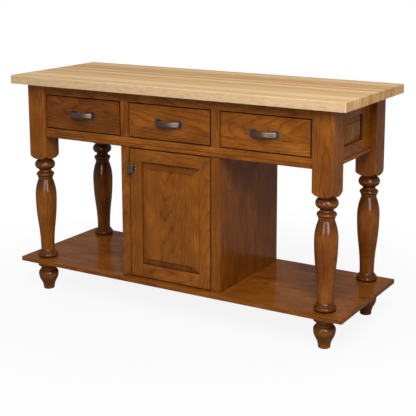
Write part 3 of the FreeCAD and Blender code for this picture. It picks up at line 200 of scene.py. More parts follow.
def wood_figure(tree, ring_gap, cloud, streak, pore):
    """The figure of a sawn board: rings about an unseen heart, cloudiness, streaks and pores.

    ring_gap is one year's growth; cloud, streak and pore are (length, width) of one mark.
    """
    strips_apart = 7.0
    wave, wave_height = (220 * MM, 55 * MM), 26 * MM
    most_aside = 55 * MM
    nearest, farthest = 30 * MM, 120 * MM
    most_lean = 0.15
    grain = add(tree, "ShaderNodeAttribute", attribute_name="grain").outputs["Vector"]
    board_chance = add(tree, "ShaderNodeAttribute", attribute_name="chance").outputs["Vector"]
    chance = glued_strips(tree, grain, board_chance)
    apart = add(tree, "ShaderNodeVectorMath", {0: chance, "Scale": strips_apart}, operation="SCALE")
    own = add(tree, "ShaderNodeVectorMath", {0: grain, 1: apart}, operation="ADD")
    marks = []
    for (length, width), detail in ((cloud, 3.0), (streak, 4.0), (pore, 2.0), (wave, 2.0)):
        spread = add(tree, "ShaderNodeVectorMath", {0: own, 1: (length, width, width)}, operation="DIVIDE")
        marks.append(add(tree, "ShaderNodeTexNoise", {"Vector": spread, "Scale": 1.0, "Detail": detail}))
    clouds, streaks, pores, wander = marks
    # The heart lies behind the board's broad face and leans away from it, so the rings come out as arches.
    half_y, half_z = board_sizes(tree)
    thin_y = add(tree, "ShaderNodeMath", {0: half_y, 1: half_z}, operation="LESS_THAN")
    x, y, z = add(tree, "ShaderNodeSeparateXYZ", {0: grain}).outputs
    across = add(tree, "ShaderNodeMix", {0: thin_y, 2: y, 3: z}, data_type="FLOAT")
    inward = add(tree, "ShaderNodeMix", {0: thin_y, 2: z, 3: y}, data_type="FLOAT")
    first, second, third = add(tree, "ShaderNodeSeparateXYZ", {0: chance}).outputs
    aside = add(tree, "ShaderNodeMapRange", {"Value": first, "To Min": -most_aside, "To Max": most_aside})
    behind = add(tree, "ShaderNodeMapRange", {"Value": second, "To Min": nearest, "To Max": farthest})
    lean = add(tree, "ShaderNodeMapRange", {"Value": third, "To Min": -most_lean, "To Max": most_lean})
    slope = add(tree, "ShaderNodeMath", {0: x, 1: lean, 2: inward}, operation="MULTIPLY_ADD")
    from_heart = add(tree, "ShaderNodeMath", {0: across, 1: aside}, operation="ADD")
    over_heart = add(tree, "ShaderNodeMath", {0: slope, 1: behind}, operation="ADD")
    flat = add(tree, "ShaderNodeCombineXYZ", {"X": from_heart, "Y": over_heart})
    radius = add(tree, "ShaderNodeVectorMath", {0: flat}, operation="LENGTH").outputs["Value"]
    bent = add(tree, "ShaderNodeMath", {0: wander, 1: wave_height, 2: radius}, operation="MULTIPLY_ADD")
    years = add(tree, "ShaderNodeMath", {0: bent, 1: ring_gap}, operation="DIVIDE")
    year = add(tree, "ShaderNodeMath", {0: years}, operation="FRACT")
    rings = add(tree, "ShaderNodeFloatCurve", {"Value": year})
    for place, height in ((0.6, 0.1), (0.86, 0.75), (0.94, 1.0)):
        rings.mapping.curves[0].points.new(place, height)
    rings.mapping.curves[0].points[-1].location = (1.0, 0.0)
    rings.mapping.update()
    broken = add(tree, "ShaderNodeMapRange", {"Value": streaks, "From Min": 0.25, "From Max": 0.55})
    lines = add(tree, "ShaderNodeMath", {0: rings, 1: broken}, operation="MULTIPLY")
    return clouds, streaks, pores, lines, third


def gap_shade_band(tree, width):
    """The mask of the painted gap shade: 1 at the edges of the front that a board is part of,
    0 from width inwards.
    """
    place = add(tree, "ShaderNodeTexCoord").outputs["Object"]
    low = add(tree, "ShaderNodeAttribute", attribute_name="front_low").outputs["Vector"]
    high = add(tree, "ShaderNodeAttribute", attribute_name="front_high").outputs["Vector"]
    over = add(tree, "ShaderNodeVectorMath", {0: place, 1: low}, operation="SUBTRACT")
    under = add(tree, "ShaderNodeVectorMath", {0: high, 1: place}, operation="SUBTRACT")
    inside = add(tree, "ShaderNodeVectorMath", {0: over, 1: under}, operation="MINIMUM")
    x, _, z = add(tree, "ShaderNodeSeparateXYZ", {0: inside}).outputs
    nearest = add(tree, "ShaderNodeMath", {0: x, 1: z}, operation="MINIMUM")
    return add(tree, "ShaderNodeMapRange", {"Value": nearest, "From Max": width,
                                            "To Min": 1.0, "To Max": 0.0})


def weighed(tree, start, parts):
    """start plus each (output, weight) of parts."""
    total = start
    for value, weight in parts:
        total = add(tree, "ShaderNodeMath", {0: value, 1: weight, 2: total}, operation="MULTIPLY_ADD")
    return total


def stained_cherry():
    """Cherry, planed or turned, wiped with a brown stain and sprayed with satin lacquer.

    The stain takes unevenly: soft clouds, thin arched rings and short flecks, and it goes darker where
    the grain comes out endwise, as on the shoulders of a turning. Shade is painted into the colour in
    hollows, corners and gaps, from ambient occlusion, and as a dark band along the edges of each front.
    The thin clear film gives small highlights and hardly veils the colour.
    """
    made, tree, shader = new_material("stained_cherry_satin_lacquer")
    clouds, streaks, pores, rings, tone = wood_figure(
        tree, ring_gap=10 * MM, cloud=(110 * MM, 48 * MM), streak=(75 * MM, 4.5 * MM),
        pore=(18 * MM, 2.6 * MM))
    # Starts low on the ramp; the noises lie about 0.5 and the rings above 0. Real pores are under 0.2 mm
    # wide: they are drawn as coarse flecks, so that they show.
    own_tone = add(tree, "ShaderNodeAttribute", attribute_name="tone").outputs["Fac"]
    shade = weighed(tree, -0.215, [(clouds, 0.76), (streaks, 0.2), (pores, 0.36), (rings, -0.23),
                                  (tone, 0.12), (own_tone, 1.0)])
    ramp = add(tree, "ShaderNodeValToRGB", {"Fac": shade})
    paint_stops(ramp, [(0.12, "#4A2409"), (0.36, "#65350D"), (0.54, "#7D4612"), (0.72, "#945719"),
                       (0.95, "#AC6E26")])
    way = add(tree, "ShaderNodeAttribute", attribute_name="grain_way").outputs["Vector"]
    facing = add(tree, "ShaderNodeTexCoord").outputs["Normal"]
    along = add(tree, "ShaderNodeVectorMath", {0: facing, 1: way}, operation="DOT_PRODUCT").outputs["Value"]
    endwise = add(tree, "ShaderNodeMath", {0: along}, operation="ABSOLUTE")
    out_of_grain = add(tree, "ShaderNodeMapRange", {"Value": endwise, "From Min": 0.05, "From Max": 0.32})
    end_stain = add(tree, "ShaderNodeAttribute", attribute_name="end_stain").outputs["Fac"]
    end_share = add(tree, "ShaderNodeMath", {0: out_of_grain, 1: end_stain}, operation="MULTIPLY")
    ended = add(tree, "ShaderNodeMix", {0: end_share, 6: ramp, 7: linear("#2C1303")}, data_type="RGBA")
    # Painted shade: a dark band along the edges of each front stands in for the shade in the gaps round it.
    gap_shade = add(tree, "ShaderNodeAttribute", attribute_name="gap_shade").outputs["Fac"]
    gap_shade_share = add(tree, "ShaderNodeMath", {0: gap_shade_band(tree, 2.5 * MM), 1: gap_shade},
                     operation="MULTIPLY")
    # The colour of the painted shade in gaps and hollows.
    painted_shade = linear("#240C04")
    gap_shaded = add(tree, "ShaderNodeMix", {0: gap_shade_share, 6: ended.outputs[2], 7: painted_shade}, data_type="RGBA")
    # Painted shade: ambient occlusion darkens the colour in hollows, corners and gaps, where shade falls.
    occlusion = add(tree, "ShaderNodeAmbientOcclusion", {"Distance": 6 * MM}, samples=8)
    hollow_shade = add(tree, "ShaderNodeMapRange", {"Value": occlusion.outputs["AO"], "From Min": 0.15,
                                             "From Max": 0.7, "To Min": 0.9, "To Max": 0.0})
    hollow_shaded = add(tree, "ShaderNodeMix", {0: hollow_shade, 6: gap_shaded.outputs[2], 7: painted_shade}, data_type="RGBA")
    tree.links.new(hollow_shaded.outputs[2], shader.inputs["Base Color"])
    rough = add(tree, "ShaderNodeMapRange", {"Value": streaks, "To Min": 0.42, "To Max": 0.58})
    tree.links.new(rough.outputs[0], shader.inputs["Roughness"])
    relief = add(tree, "ShaderNodeMath", {0: pores, 1: streaks}, operation="ADD")
    bump = add(tree, "ShaderNodeBump", {"Strength": 0.1, "Distance": 0.2 * MM, "Height": relief})
    tree.links.new(bump.outputs[0], shader.inputs["Normal"])
    shader.inputs["IOR"].default_value = 1.5
    shader.inputs["Specular IOR Level"].default_value = 0.0
    shader.inputs["Coat Weight"].default_value = 0.16
    shader.inputs["Coat IOR"].default_value = 1.5
    shader.inputs["Coat Roughness"].default_value = 0.22
    return made


def clear_maple():
    """Maple under clear lacquer, for the drawer boxes and what else is inside: pale, even, faint rings."""
    made, tree, shader = new_material("clear_lacquered_maple")
    clouds, streaks, pores, rings, tone = wood_figure(
        tree, ring_gap=6 * MM, cloud=(180 * MM, 40 * MM), streak=(160 * MM, 3 * MM),
        pore=(7 * MM, 0.6 * MM))
    shade = weighed(tree, 0.0, [(clouds, 0.5), (streaks, 0.3), (pores, 0.1), (rings, -0.2), (tone, 0.1)])
    ramp = add(tree, "ShaderNodeValToRGB", {"Fac": shade})
    paint_stops(ramp, [(0.1, "#B58A57"), (0.45, "#D2AD7C"), (0.7, "#E2C598")])
    tree.links.new(ramp.outputs[0], shader.inputs["Base Color"])
    bump = add(tree, "ShaderNodeBump", {"Strength": 0.1, "Distance": 0.2 * MM, "Height": streaks})
    tree.links.new(bump.outputs[0], shader.inputs["Normal"])
    shader.inputs["Roughness"].default_value = 0.45
    shader.inputs["Coat Weight"].default_value = 0.3
    shader.inputs["Coat Roughness"].default_value = 0.3
    return made


def oiled_butcher_block():
    """Edge-glued hard-maple staves, sanded flush and oiled.

    Each stave has its own tone; thin glue lines run between them. The two ends show darker end grain,
    the long edges a paler flat-sawn face with small curly flecks.
    """
    made, tree, shader = new_material("oiled_maple_butcher_block")
    low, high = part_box("butcher_block_top")
    stave_count = 17
    stave = (high.y - low.y) / stave_count
    # A sanded glue line is under 0.2 mm; it is drawn as coarse as it needs to show.
    glue = 0.7 * MM
    staves_apart = 9.0
    stave_marks = ((320, 26, 26), (170, 3.5, 3.5), (34, 7, 7), (90, 4.5, 90))
    ring_gap, waver = 5 * MM, 9 * MM
    most_aside = 30 * MM
    deepest, shallowest = -860 * MM, -760 * MM
    lean_share = 0.035
    where = add(tree, "ShaderNodeTexCoord")
    x, y, z = add(tree, "ShaderNodeSeparateXYZ", {0: where.outputs["Object"]}).outputs
    from_low = add(tree, "ShaderNodeMath", {0: y, 1: -low.y}, operation="ADD")
    rows = add(tree, "ShaderNodeMath", {0: from_low, 1: stave}, operation="DIVIDE")
    row = add(tree, "ShaderNodeMath", {0: rows}, operation="FLOOR")
    chance = add(tree, "ShaderNodeTexWhiteNoise", {"W": row}, noise_dimensions="1D").outputs["Color"]
    first, second, third = add(tree, "ShaderNodeSeparateXYZ", {0: chance}).outputs

    in_row = add(tree, "ShaderNodeMath", {0: rows, 1: 0.5}, operation="PINGPONG")
    to_line = add(tree, "ShaderNodeMath", {0: in_row, 1: stave}, operation="MULTIPLY")
    line = add(tree, "ShaderNodeMapRange", {"Value": to_line, "From Max": glue,
                                            "To Min": 1.0, "To Max": 0.0})

    # The figure of each stave: clouds, streaks along it, curly flecks, lines down its end, arched rings.
    apart = add(tree, "ShaderNodeVectorMath", {0: chance, "Scale": staves_apart}, operation="SCALE")
    own = add(tree, "ShaderNodeVectorMath", {0: where.outputs["Object"], 1: apart}, operation="ADD")
    marks = []
    for mark in stave_marks:
        spread = add(tree, "ShaderNodeVectorMath", {0: own, 1: [side * MM for side in mark]},
                     operation="DIVIDE")
        marks.append(add(tree, "ShaderNodeTexNoise", {"Vector": spread, "Scale": 1.0, "Detail": 3.0}))
    clouds, streaks, flecks, end_lines = marks
    heart_y = add(tree, "ShaderNodeMapRange", {"Value": first, "To Min": -most_aside, "To Max": most_aside})
    heart_z = add(tree, "ShaderNodeMapRange", {"Value": second, "To Min": deepest, "To Max": shallowest})
    to_side = add(tree, "ShaderNodeMath", {0: rows}, operation="FRACT")
    in_stave = add(tree, "ShaderNodeMath", {0: to_side, 1: stave, 2: heart_y}, operation="MULTIPLY_ADD")
    lean = add(tree, "ShaderNodeMath", {0: x, 1: lean_share, 2: z}, operation="MULTIPLY_ADD")
    from_z = add(tree, "ShaderNodeMath", {0: lean, 1: heart_z}, operation="ADD")
    flat = add(tree, "ShaderNodeCombineXYZ", {"X": in_stave, "Y": from_z})
    radius = add(tree, "ShaderNodeVectorMath", {0: flat}, operation="LENGTH").outputs["Value"]
    bent = add(tree, "ShaderNodeMath", {0: flecks, 1: waver, 2: radius}, operation="MULTIPLY_ADD")
    years = add(tree, "ShaderNodeMath", {0: bent, 1: ring_gap}, operation="DIVIDE")
    year = add(tree, "ShaderNodeMath", {0: years}, operation="FRACT")
    rings = add(tree, "ShaderNodeMapRange", {"Value": year, "From Min": 0.72, "From Max": 0.97},
                interpolation_type="SMOOTHSTEP")

    shade = weighed(tree, -0.17, [(clouds, 0.4), (streaks, 0.4), (third, 0.46), (rings, -0.16)])
    ramp = add(tree, "ShaderNodeValToRGB", {"Fac": shade})
    paint_stops(ramp, [(0.1, "#B17C40"), (0.32, "#C0965D"), (0.55, "#CCA977"), (0.85, "#D8C094")])
    lined = weighed(tree, -0.3, [(end_lines, 1.4), (third, 0.2)])
    end_ramp = add(tree, "ShaderNodeValToRGB", {"Fac": lined})
    paint_stops(end_ramp, [(0.15, "#966A3C"), (0.4, "#B88A58"), (0.6, "#CDA06E"), (0.85, "#DBB688")])
    curl = weighed(tree, 0.0, [(flecks, 0.75), (streaks, 0.25)])
    edge_ramp = add(tree, "ShaderNodeValToRGB", {"Fac": curl})
    paint_stops(edge_ramp, [(0.34, "#DEB184"), (0.43, "#EACCA2"), (0.52, "#EFD4AC"), (0.7, "#F4DFBE")])
    facing = add(tree, "ShaderNodeVectorMath", {0: where.outputs["Normal"]}, operation="ABSOLUTE")
    endwise, sideways, _ = add(tree, "ShaderNodeSeparateXYZ", {0: facing}).outputs
    wood = ramp.outputs[0]
    for outward, face_ramp in ((endwise, end_ramp), (sideways, edge_ramp)):
        share = add(tree, "ShaderNodeMapRange", {"Value": outward, "From Min": 0.45, "From Max": 0.75})
        wood = add(tree, "ShaderNodeMix", {0: share, 6: wood, 7: face_ramp}, data_type="RGBA").outputs[2]
    line_share = add(tree, "ShaderNodeMath", {0: line, 1: 0.5}, operation="MULTIPLY")
    glued = add(tree, "ShaderNodeMix", {0: line_share, 6: wood, 7: linear("#8A5A2C")}, data_type="RGBA")
    tree.links.new(glued.outputs[2], shader.inputs["Base Color"])
    rough = add(tree, "ShaderNodeMapRange", {"Value": streaks, "To Min": 0.42, "To Max": 0.6})
    tree.links.new(rough.outputs[0], shader.inputs["Roughness"])
    relief = add(tree, "ShaderNodeMath", {0: line, 1: -1.0, 2: streaks}, operation="MULTIPLY_ADD")
    bump = add(tree, "ShaderNodeBump", {"Strength": 0.15, "Distance": 0.25 * MM, "Height": relief})
    tree.links.new(bump.outputs[0], shader.inputs["Normal"])
    shader.inputs["IOR"].default_value = 1.47
    shader.inputs["Specular IOR Level"].default_value = 0.06
    return made


def brushed_metal(name, colours, rough, brush, wear=None):
    """A cast or rolled metal: cloudy tone, fine brush marks along X, and paler edges where it is worn.

    brush is the (length, width) of one brush mark, drawn as coarse as it needs to show.
    """
    made, tree, shader = new_material(name)
    where = add(tree, "ShaderNodeTexCoord").outputs["Object"]
    length, width = brush
    spread = add(tree, "ShaderNodeVectorMath", {0: where, 1: (length, width, width)}, operation="DIVIDE")
    marks = add(tree, "ShaderNodeTexNoise", {"Vector": spread, "Scale": 1.0, "Detail": 3.0})
    patch_size = 14 * MM
    patches = add(tree, "ShaderNodeTexNoise", {"Vector": where, "Scale": 1 / patch_size, "Detail": 3.0})
    shade = weighed(tree, 0.15, [(marks, 0.25), (patches, 0.45)])
    ramp = add(tree, "ShaderNodeValToRGB", {"Fac": shade})
    paint_stops(ramp, colours)
    colour = ramp.outputs[0]
    if wear:
        bend = add(tree, "ShaderNodeNewGeometry").outputs["Pointiness"]
        edge = add(tree, "ShaderNodeMapRange", {"Value": bend, "From Min": 0.52, "From Max": 0.6,
                                                "To Max": 0.8})
        worn = add(tree, "ShaderNodeMix", {0: edge, 6: colour, 7: linear(wear)}, data_type="RGBA")
        colour = worn.outputs[2]
    tree.links.new(colour, shader.inputs["Base Color"])
    low, high = rough
    roughness = add(tree, "ShaderNodeMapRange", {"Value": marks, "To Min": low, "To Max": high})
    tree.links.new(roughness.outputs[0], shader.inputs["Roughness"])
    bump = add(tree, "ShaderNodeBump", {"Strength": 0.1, "Distance": 0.03 * MM, "Height": marks})
    tree.links.new(bump.outputs[0], shader.inputs["Normal"])
    shader.inputs["Metallic"].default_value = 1.0
    return made


def dark_pewter():
    """Cast zinc with a darkened pewter plating, brushed back: warm grey, paler on its edges."""
    return brushed_metal("darkened_pewter", [(0.3, "#332A25"), (0.5, "#3F352F"), (0.7, "#4E433C")],
                         rough=(0.34, 0.46), brush=(30 * MM, 0.7 * MM), wear="#95877C")


def zinc_plated_steel():
    """Rolled and bent steel sheet and screws, zinc plated: bright, faintly bluish and cloudy."""
    return brushed_metal("zinc_plated_steel", [(0.3, "#9EA2A6"), (0.5, "#B4B8BB"), (0.7, "#C6C9CA")],
                         rough=(0.28, 0.46), brush=(30 * MM, 0.5 * MM))


def darkened_brass():
    """Stamped brass hinge leaves, chemically darkened."""
    return brushed_metal("darkened_brass", [(0.3, "#4A3720"), (0.5, "#5C4629"), (0.7, "#6E5634")],
                         rough=(0.3, 0.48), brush=(12 * MM, 0.4 * MM))


def brown_plastic():
    """Moulded polypropylene of the door catch: matt brown with a fine spark-eroded grain."""
    made, tree, shader = new_material("moulded_brown_polypropylene")
    where = add(tree, "ShaderNodeTexCoord").outputs["Object"]
    grit = 0.5 * MM
    grain = add(tree, "ShaderNodeTexNoise", {"Vector": where, "Scale": 1 / grit, "Detail": 2.0})
    ramp = add(tree, "ShaderNodeValToRGB", {"Fac": grain})
    paint_stops(ramp, [(0.35, "#3B281A"), (0.65, "#4A3423")])
    tree.links.new(ramp.outputs[0], shader.inputs["Base Color"])
    bump = add(tree, "ShaderNodeBump", {"Strength": 0.25, "Distance": 0.06 * MM, "Height": grain})
    tree.links.new(bump.outputs[0], shader.inputs["Normal"])
    shader.inputs["Roughness"].default_value = 0.55
    return made


# The finish of each of the record's slots, and the slots whose pieces are sawn boards.
FINISHES = {
    "stained_wood": stained_cherry(),
    "butcher_block": oiled_butcher_block(),
    "clear_maple": clear_maple(),
    "dark_pewter": dark_pewter(),
    "zinc_steel": zinc_plated_steel(),
    "brass_leaf": darkened_brass(),
    "brown_plastic": brown_plastic(),
}
BOARD_SLOTS = ("stained_wood", "clear_maple")
UPRIGHT_PANELS = ("left_apron_panel", "right_apron_panel")
# Each board with painted shade along the gaps round the edges of a front, and the corners of that front.
FRONTS = {f"{drawer}_front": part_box(f"{drawer}_front") for drawer in DRAWERS}
FRONTS["door_stiles"] = FRONTS["door_rails"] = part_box("door_stiles")
# The bottom rail's front ends at the top of the bead, so its painted shade also runs just above the bead.
above_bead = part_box("front_bottom_rail")
above_bead[0].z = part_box("apron_beads")[1].z
FRONTS["front_bottom_rail"] = above_bead
# How dark the ends of boards came out of the stain and how dark the painted gap shade along the edges of
# fronts is, the boards whose ends differ from that, and the boards that are paler or darker all over.
END_STAIN = 0.66
GAP_SHADE = 0.8
END_STAINS = {"lower_shelf": 0.3, "turned_feet": 0.5, "door_panel": 0.55,
              "left_apron_panel": 0.0, "right_apron_panel": 0.0}
TONES = {"left_drawer_front": -0.1, "right_drawer_front": 0.06, "front_bottom_rail": 0.08,
         "door_stiles": 0.04, "door_rails": 0.04, "door_panel": 0.05, "leg_front_left": 0.03,
         "leg_back_left": -0.08, "leg_back_right": -0.1, "right_apron_frame": 0.05,
         "right_apron_panel": 0.1, "cabinet_side_right": -0.08}


def dress_frame():
    """Gives every node its finish, and every wooden one its boards' grain, stain and painted gap shade."""
    grain = board_tree()
    for number, part in enumerate(frame["record"]["subparts"]):
        thing = nodes[part["node"]]
        slot = part["material_slot"]
        thing.data.materials.clear()
        thing.data.materials.append(FINISHES[slot])
        if slot in BOARD_SLOTS:
            node = part["node"]
            low, high = FRONTS.get(node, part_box(node))
            run_tree(thing, grain, {"Seed": number, "Upright": node in UPRIGHT_PANELS,
                                    "Tone": TONES.get(node, 0.0),
                                    "End Stain": END_STAINS.get(node, END_STAIN),
                                    "Gap Shade": GAP_SHADE if node in FRONTS else 0.0,
                                    "Front Low": low, "Front High": high})


def solids(node):
    """The (low, high) box of each separate solid of a node, found by welding its corners."""
    mesh = nodes[node].data
    key = [tuple(round(c / WELD) for c in v.co) for v in mesh.vertices]
    group = {}

    def root(k):
        while group.setdefault(k, k) != k:
            k = group[k]
        return k

    for face in mesh.polygons:
        first = root(key[face.vertices[0]])
        for corner in face.vertices[1:]:
            group[root(key[corner])] = first
    found = {}
    for k, v in zip(key, mesh.vertices):
        found.setdefault(root(k), []).append(v.co)
    boxes = []
    for points in found.values():
        boxes.append((Vector(map(min, zip(*points))), Vector(map(max, zip(*points)))))
    return boxes


def screw_tree():
    """Cross-recessed screw heads on points, each facing its own way and turned at random."""
    tree, start, end = new_tree("screw_heads", {"Head Radius": "Float", "Head Height": "Float",
                                                "Material": "Material"})
    radius, height = start.outputs["Head Radius"], start.outputs["Head Height"]
    rim_share, span_share, slit_share = 0.74, 1.15, 0.26
    rim = add(tree, "ShaderNodeMath", {0: radius, 1: rim_share}, operation="MULTIPLY")
    head = add(tree, "GeometryNodeMeshCone", {"Vertices": 24, "Radius Top": rim, "Radius Bottom": radius,
                                              "Depth": height})
    span = add(tree, "ShaderNodeMath", {0: radius, 1: span_share}, operation="MULTIPLY")
    slit = add(tree, "ShaderNodeMath", {0: radius, 1: slit_share}, operation="MULTIPLY")
    bars = []
    for size in ({"X": span, "Y": slit, "Z": height}, {"X": slit, "Y": span, "Z": height}):
        corner = add(tree, "ShaderNodeCombineXYZ", size)
        bars.append(add(tree, "GeometryNodeMeshCube", {"Size": corner}))
    cross = add(tree, "GeometryNodeJoinGeometry")
    for bar in bars:
        tree.links.new(bar.outputs["Mesh"], cross.inputs[0])
    raised = add(tree, "ShaderNodeCombineXYZ", {"Z": height})
    recess = add(tree, "GeometryNodeTransform", {"Geometry": cross, "Translation": raised})
    cut = add(tree, "GeometryNodeMeshBoolean", operation="DIFFERENCE")
    tree.links.new(head.outputs["Mesh"], cut.inputs["Mesh 1"])
    tree.links.new(recess.outputs[0], cut.inputs["Mesh 2"])
    spots = add(tree, "GeometryNodeMeshToPoints", {"Mesh": start.outputs["Geometry"]})
    facing = add(tree, "GeometryNodeInputNamedAttribute", {"Name": "facing"}, data_type="FLOAT_VECTOR")
    upright = add(tree, "FunctionNodeAlignRotationToVector", {"Vector": facing}, axis="Z")
    twist = add(tree, "FunctionNodeRandomValue", {"Min": 0.0, "Max": math.pi, "Seed": 4})
    turned = add(tree, "FunctionNodeAxisAngleToRotation", {"Axis": (0, 0, 1), "Angle": twist.outputs[1]})
    spun = add(tree, "FunctionNodeRotateRotation", {"Rotation": upright, "Rotate By": turned},
               rotation_space="LOCAL")
    copies = add(tree, "GeometryNodeInstanceOnPoints", {"Points": spots, "Instance": cut, "Rotation": spun})
    real = add(tree, "GeometryNodeRealizeInstances", {"Geometry": copies})
    painted = add(tree, "GeometryNodeSetMaterial",
                  {"Geometry": real, "Material": start.outputs["Material"]})
    tree.links.new(painted.outputs[0], end.inputs[0])
    return tree


def screw_heads(name, body, slot, tree, spots, radius, height):
    """One mesh of screw heads on a body; spots are (point, direction) pairs."""
    mesh = bpy.data.meshes.new(name)
    mesh.from_pydata([point for point, _ in spots], [], [])
    facing = mesh.attributes.new("facing", "FLOAT_VECTOR", "POINT")
    facing.data.foreach_set("vector", [c for _, way in spots for c in way])
    piece = bpy.data.objects.new(name, mesh)
    bpy.context.scene.collection.objects.link(piece)
    run_tree(piece, tree, {"Head Radius": radius, "Head Height": height, "Material": FINISHES[slot]})
    ready = piece.evaluated_get(bpy.context.evaluated_depsgraph_get())
    made = bpy.data.meshes.new_from_object(ready)
    piece.modifiers.clear()
    piece.data = made
    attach(piece, body)


def slide_screws(tree):
    """Three pan heads hold each inner slide member to its drawer's side."""
    sheet = 1.2 * MM
    from_end = 35 * MM
    for drawer in DRAWERS:
        side_low, side_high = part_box(f"{drawer}_box")
        spots = []
        for low, high in solids(f"{drawer}_slide_inners"):
            right = low.x > (side_low.x + side_high.x) / 2
            x, way = (side_high.x + sheet, 1) if right else (side_low.x - sheet, -1)
            z = (low.z + high.z) / 2
            for y in (low.y + from_end, (low.y + high.y) / 2, high.y - from_end):
                spots.append(((x, y, z), (way, 0, 0)))
        screw_heads(f"{drawer}_slide_screws", drawer, "zinc_steel", tree, spots, 3.2 * MM, 1.8 * MM)


def clip_screws(tree):
    """Each top clip has a screw up into the top and one into its rail."""
    sheet = 2 * MM
    low_inset = 8 * MM
    spots = []
    for low, high in solids("top_clips"):
        x, y = (low.x + high.x) / 2, (low.y + high.y) / 2
        spots.append(((x, y, high.z - sheet), (0, 0, -1)))
        wall, way = (low.y + sheet, 1) if y < 0 else (high.y - sheet, -1)
        spots.append(((x, wall, low.z + low_inset), (0, way, 0)))
    screw_heads("top_clip_screws", "base", "zinc_steel", tree, spots, 4 * MM, 2.2 * MM)


def hinge_screws(tree):
    """Two flush brass screws hold each hinge leaf; a leaf faces the one that it turns against."""
    insets = (6 * MM, 17 * MM)
    proud = 0.3 * MM
    shelf_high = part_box("lower_shelf")[1].z
    rail_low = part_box("front_bottom_rail")[0].z
    door_low, door_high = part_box("door_stiles")[0].z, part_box("door_stiles")[1].z
    for node, body, levels in (("hinge_leaves_frame", "base", ((shelf_high, 1), (rail_low, -1))),
                               ("hinge_leaves_door", "door", ((door_low, -1), (door_high, 1)))):
        low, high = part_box(node)
        spots = []
        for z, way in levels:
            for inset in insets:
                spots.append(((low.x + inset, (low.y + high.y) / 2, z), (0, 0, way)))
        screw_heads(f"{node}_screws", body, "brass_leaf", tree, spots, 2.6 * MM, proud)


def catch_screws(tree):
    """Two screws hold the catch to the back of the rail."""
    low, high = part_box("magnetic_catch")
    apart = 14 * MM
    below_top = 12 * MM
    x = (low.x + high.x) / 2
    spots = []
    for side in (-1, 1):
        spots.append(((x + side * apart, high.y, high.z - below_top), (0, 1, 0)))
    screw_heads("catch_screws", "base", "zinc_steel", tree, spots, 3 * MM, 1.6 * MM)


def add_screws():
    """The heads of the screws that hold the slides, the top clips, the hinges and the catch."""
    tree = screw_tree()
    for place_screws in (slide_screws, clip_screws, hinge_screws, catch_screws):
        place_screws(tree)


def seen_rays(tree):
    """1 for the rays that show the background: straight from the camera, mirrored or through glass."""
    ray = add(tree, "ShaderNodeLightPath").outputs
    mirrored = add(tree, "ShaderNodeMath", {0: ray["Is Camera Ray"], 1: ray["Is Glossy Ray"]},
                   operation="MAXIMUM")
    return add(tree, "ShaderNodeMath", {0: mirrored, 1: ray["Is Transmission Ray"]}, operation="MAXIMUM")


def studio_floor():
    """A wide pale floor: near the island it keeps its shadow, and further out it is plain white."""
    made = bpy.data.materials.new("white_studio_floor")
    made.use_nodes = True
    tree = made.node_tree
    tree.nodes.clear()
    near, far = 0.5, 1.7
    kept_light = 0.11
    where = add(tree, "ShaderNodeTexCoord").outputs["Object"]
    distance = add(tree, "ShaderNodeVectorMath", {0: where}, operation="LENGTH").outputs["Value"]
    glow = add(tree, "ShaderNodeMapRange", {"Value": distance, "From Min": near, "From Max": far,
                                            "To Min": 1 - kept_light, "To Max": 1.0},
               interpolation_type="SMOOTHSTEP")
    seen = seen_rays(tree)
    share = add(tree, "ShaderNodeMath", {0: glow, 1: seen}, operation="MULTIPLY")
    matt = add(tree, "ShaderNodeBsdfDiffuse", {"Color": linear("#D8D8D8")})
    white = add(tree, "ShaderNodeEmission", {"Color": linear("#FFFFFF"), "Strength": 1.0})
    both = add(tree, "ShaderNodeMixShader", {0: share, 1: matt, 2: white})
    add(tree, "ShaderNodeOutputMaterial", {"Surface": both})
    half = 45.0
    mesh = bpy.data.meshes.new("studio_floor")
    corners = [(-half, -half, 0), (half, -half, 0), (half, half, 0), (-half, half, 0)]
    mesh.from_pydata(corners, [], [(0, 1, 2, 3)])
    mesh.materials.append(made)
    floor = bpy.data.objects.new("studio_floor", mesh)
    bpy.context.scene.collection.objects.link(floor)


def studio_world():
    """White where it is seen; as light, a little brighter from behind than from the front."""
    world = bpy.data.worlds.new("studio")
    bpy.context.scene.world = world
    world.use_nodes = True
    tree = world.node_tree
    tree.nodes.clear()
    behind, ahead = 0.3, 0.15
    direction = add(tree, "ShaderNodeTexCoord").outputs["Generated"]
    y = add(tree, "ShaderNodeSeparateXYZ", {0: direction}).outputs["Y"]
    level = add(tree, "ShaderNodeMapRange", {"Value": y, "From Min": -0.6, "From Max": 0.6,
                                             "To Min": ahead, "To Max": behind})
    seen = seen_rays(tree)
    strength = add(tree, "ShaderNodeMix", {0: seen, 2: level, 3: 1.0})
    sky = add(tree, "ShaderNodeBackground", {"Color": linear("#FFFFFF"), "Strength": strength})
    add(tree, "ShaderNodeOutputWorld", {"Surface": sky})


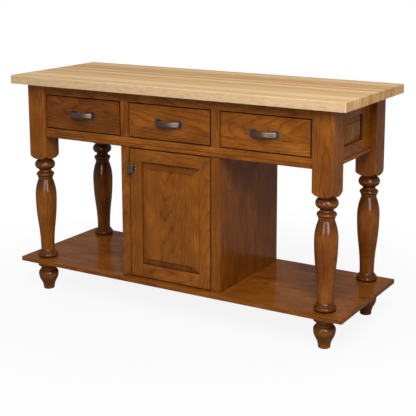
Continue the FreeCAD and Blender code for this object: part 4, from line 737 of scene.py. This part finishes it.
def soft_box(name, place, aim, size, power, highlit=()):
    """A rectangular soft box, which shows in gloss and not to the camera.

    With highlit it only makes highlights, and only on the nodes named there.
    """
    lamp = bpy.data.lights.new(name, "AREA")
    lamp.shape = "RECTANGLE"
    lamp.size, lamp.size_y = size
    lamp.energy = power
    thing = bpy.data.objects.new(name, lamp)
    thing.location = place
    thing.rotation_euler = (Vector(aim) - Vector(place)).to_track_quat("-Z", "Y").to_euler()
    thing.visible_camera = False
    bpy.context.scene.collection.objects.link(thing)
    if highlit:
        thing.visible_diffuse = False
        receivers = bpy.data.collections.new(f"{name}_receivers")
        for node in highlit:
            receivers.objects.link(nodes[node])
        thing.light_linking.receiver_collection = receivers


def studio_lights():
    """A key from the right front, weak fills, and two boxes that light only turnings and handles."""
    middle = (0, 0, 0.5)
    soft_box("key_box", (1.8, -2.57, 2.95), middle, (1.2, 2.0), 154)
    turnings = [node for node in nodes if node.startswith(("leg_front", "leg_back"))] + ["turned_feet"]
    handles = [f"{drawer}_pull" for drawer in DRAWERS] + ["door_knob"]
    soft_box("left_highlight_box", (0.5, -2.7, 1.4), middle, (0.6, 1.8), 135, turnings + handles)
    soft_box("right_highlight_box", (2.1, -1.75, 1.4), middle, (0.6, 1.8), 165, turnings + handles)
    soft_box("right_box", (3.4, -0.7, 1.8), middle, (0.8, 1.4), 8)
    soft_box("left_box", (-2.2, -1.3, 2.9), middle, (0.8, 1.4), 18)
    soft_box("back_box", (0.6, 3.0, 2.4), middle, (1.2, 1.4), 14)


def photo_camera():
    """The photograph's viewpoint, from a fit of the island's corners."""
    lens = bpy.data.cameras.new("camera")
    lens.sensor_width = 36.0
    lens.lens = 86.16
    lens.shift_x = -0.0385
    lens.shift_y = -0.1635
    lens.clip_end = 100.0
    camera = bpy.data.objects.new("camera", lens)
    camera.location = (2.047, -3.3203, 1.4204)
    turn, dip = 30.297, 10.892
    camera.rotation_euler = (math.radians(90 - dip), 0, math.radians(turn))
    bpy.context.scene.collection.objects.link(camera)
    bpy.context.scene.camera = camera


dress_frame()
add_screws()
studio_floor()
studio_world()
studio_lights()
photo_camera()
bpy.context.scene.view_settings.view_transform = "Standard"
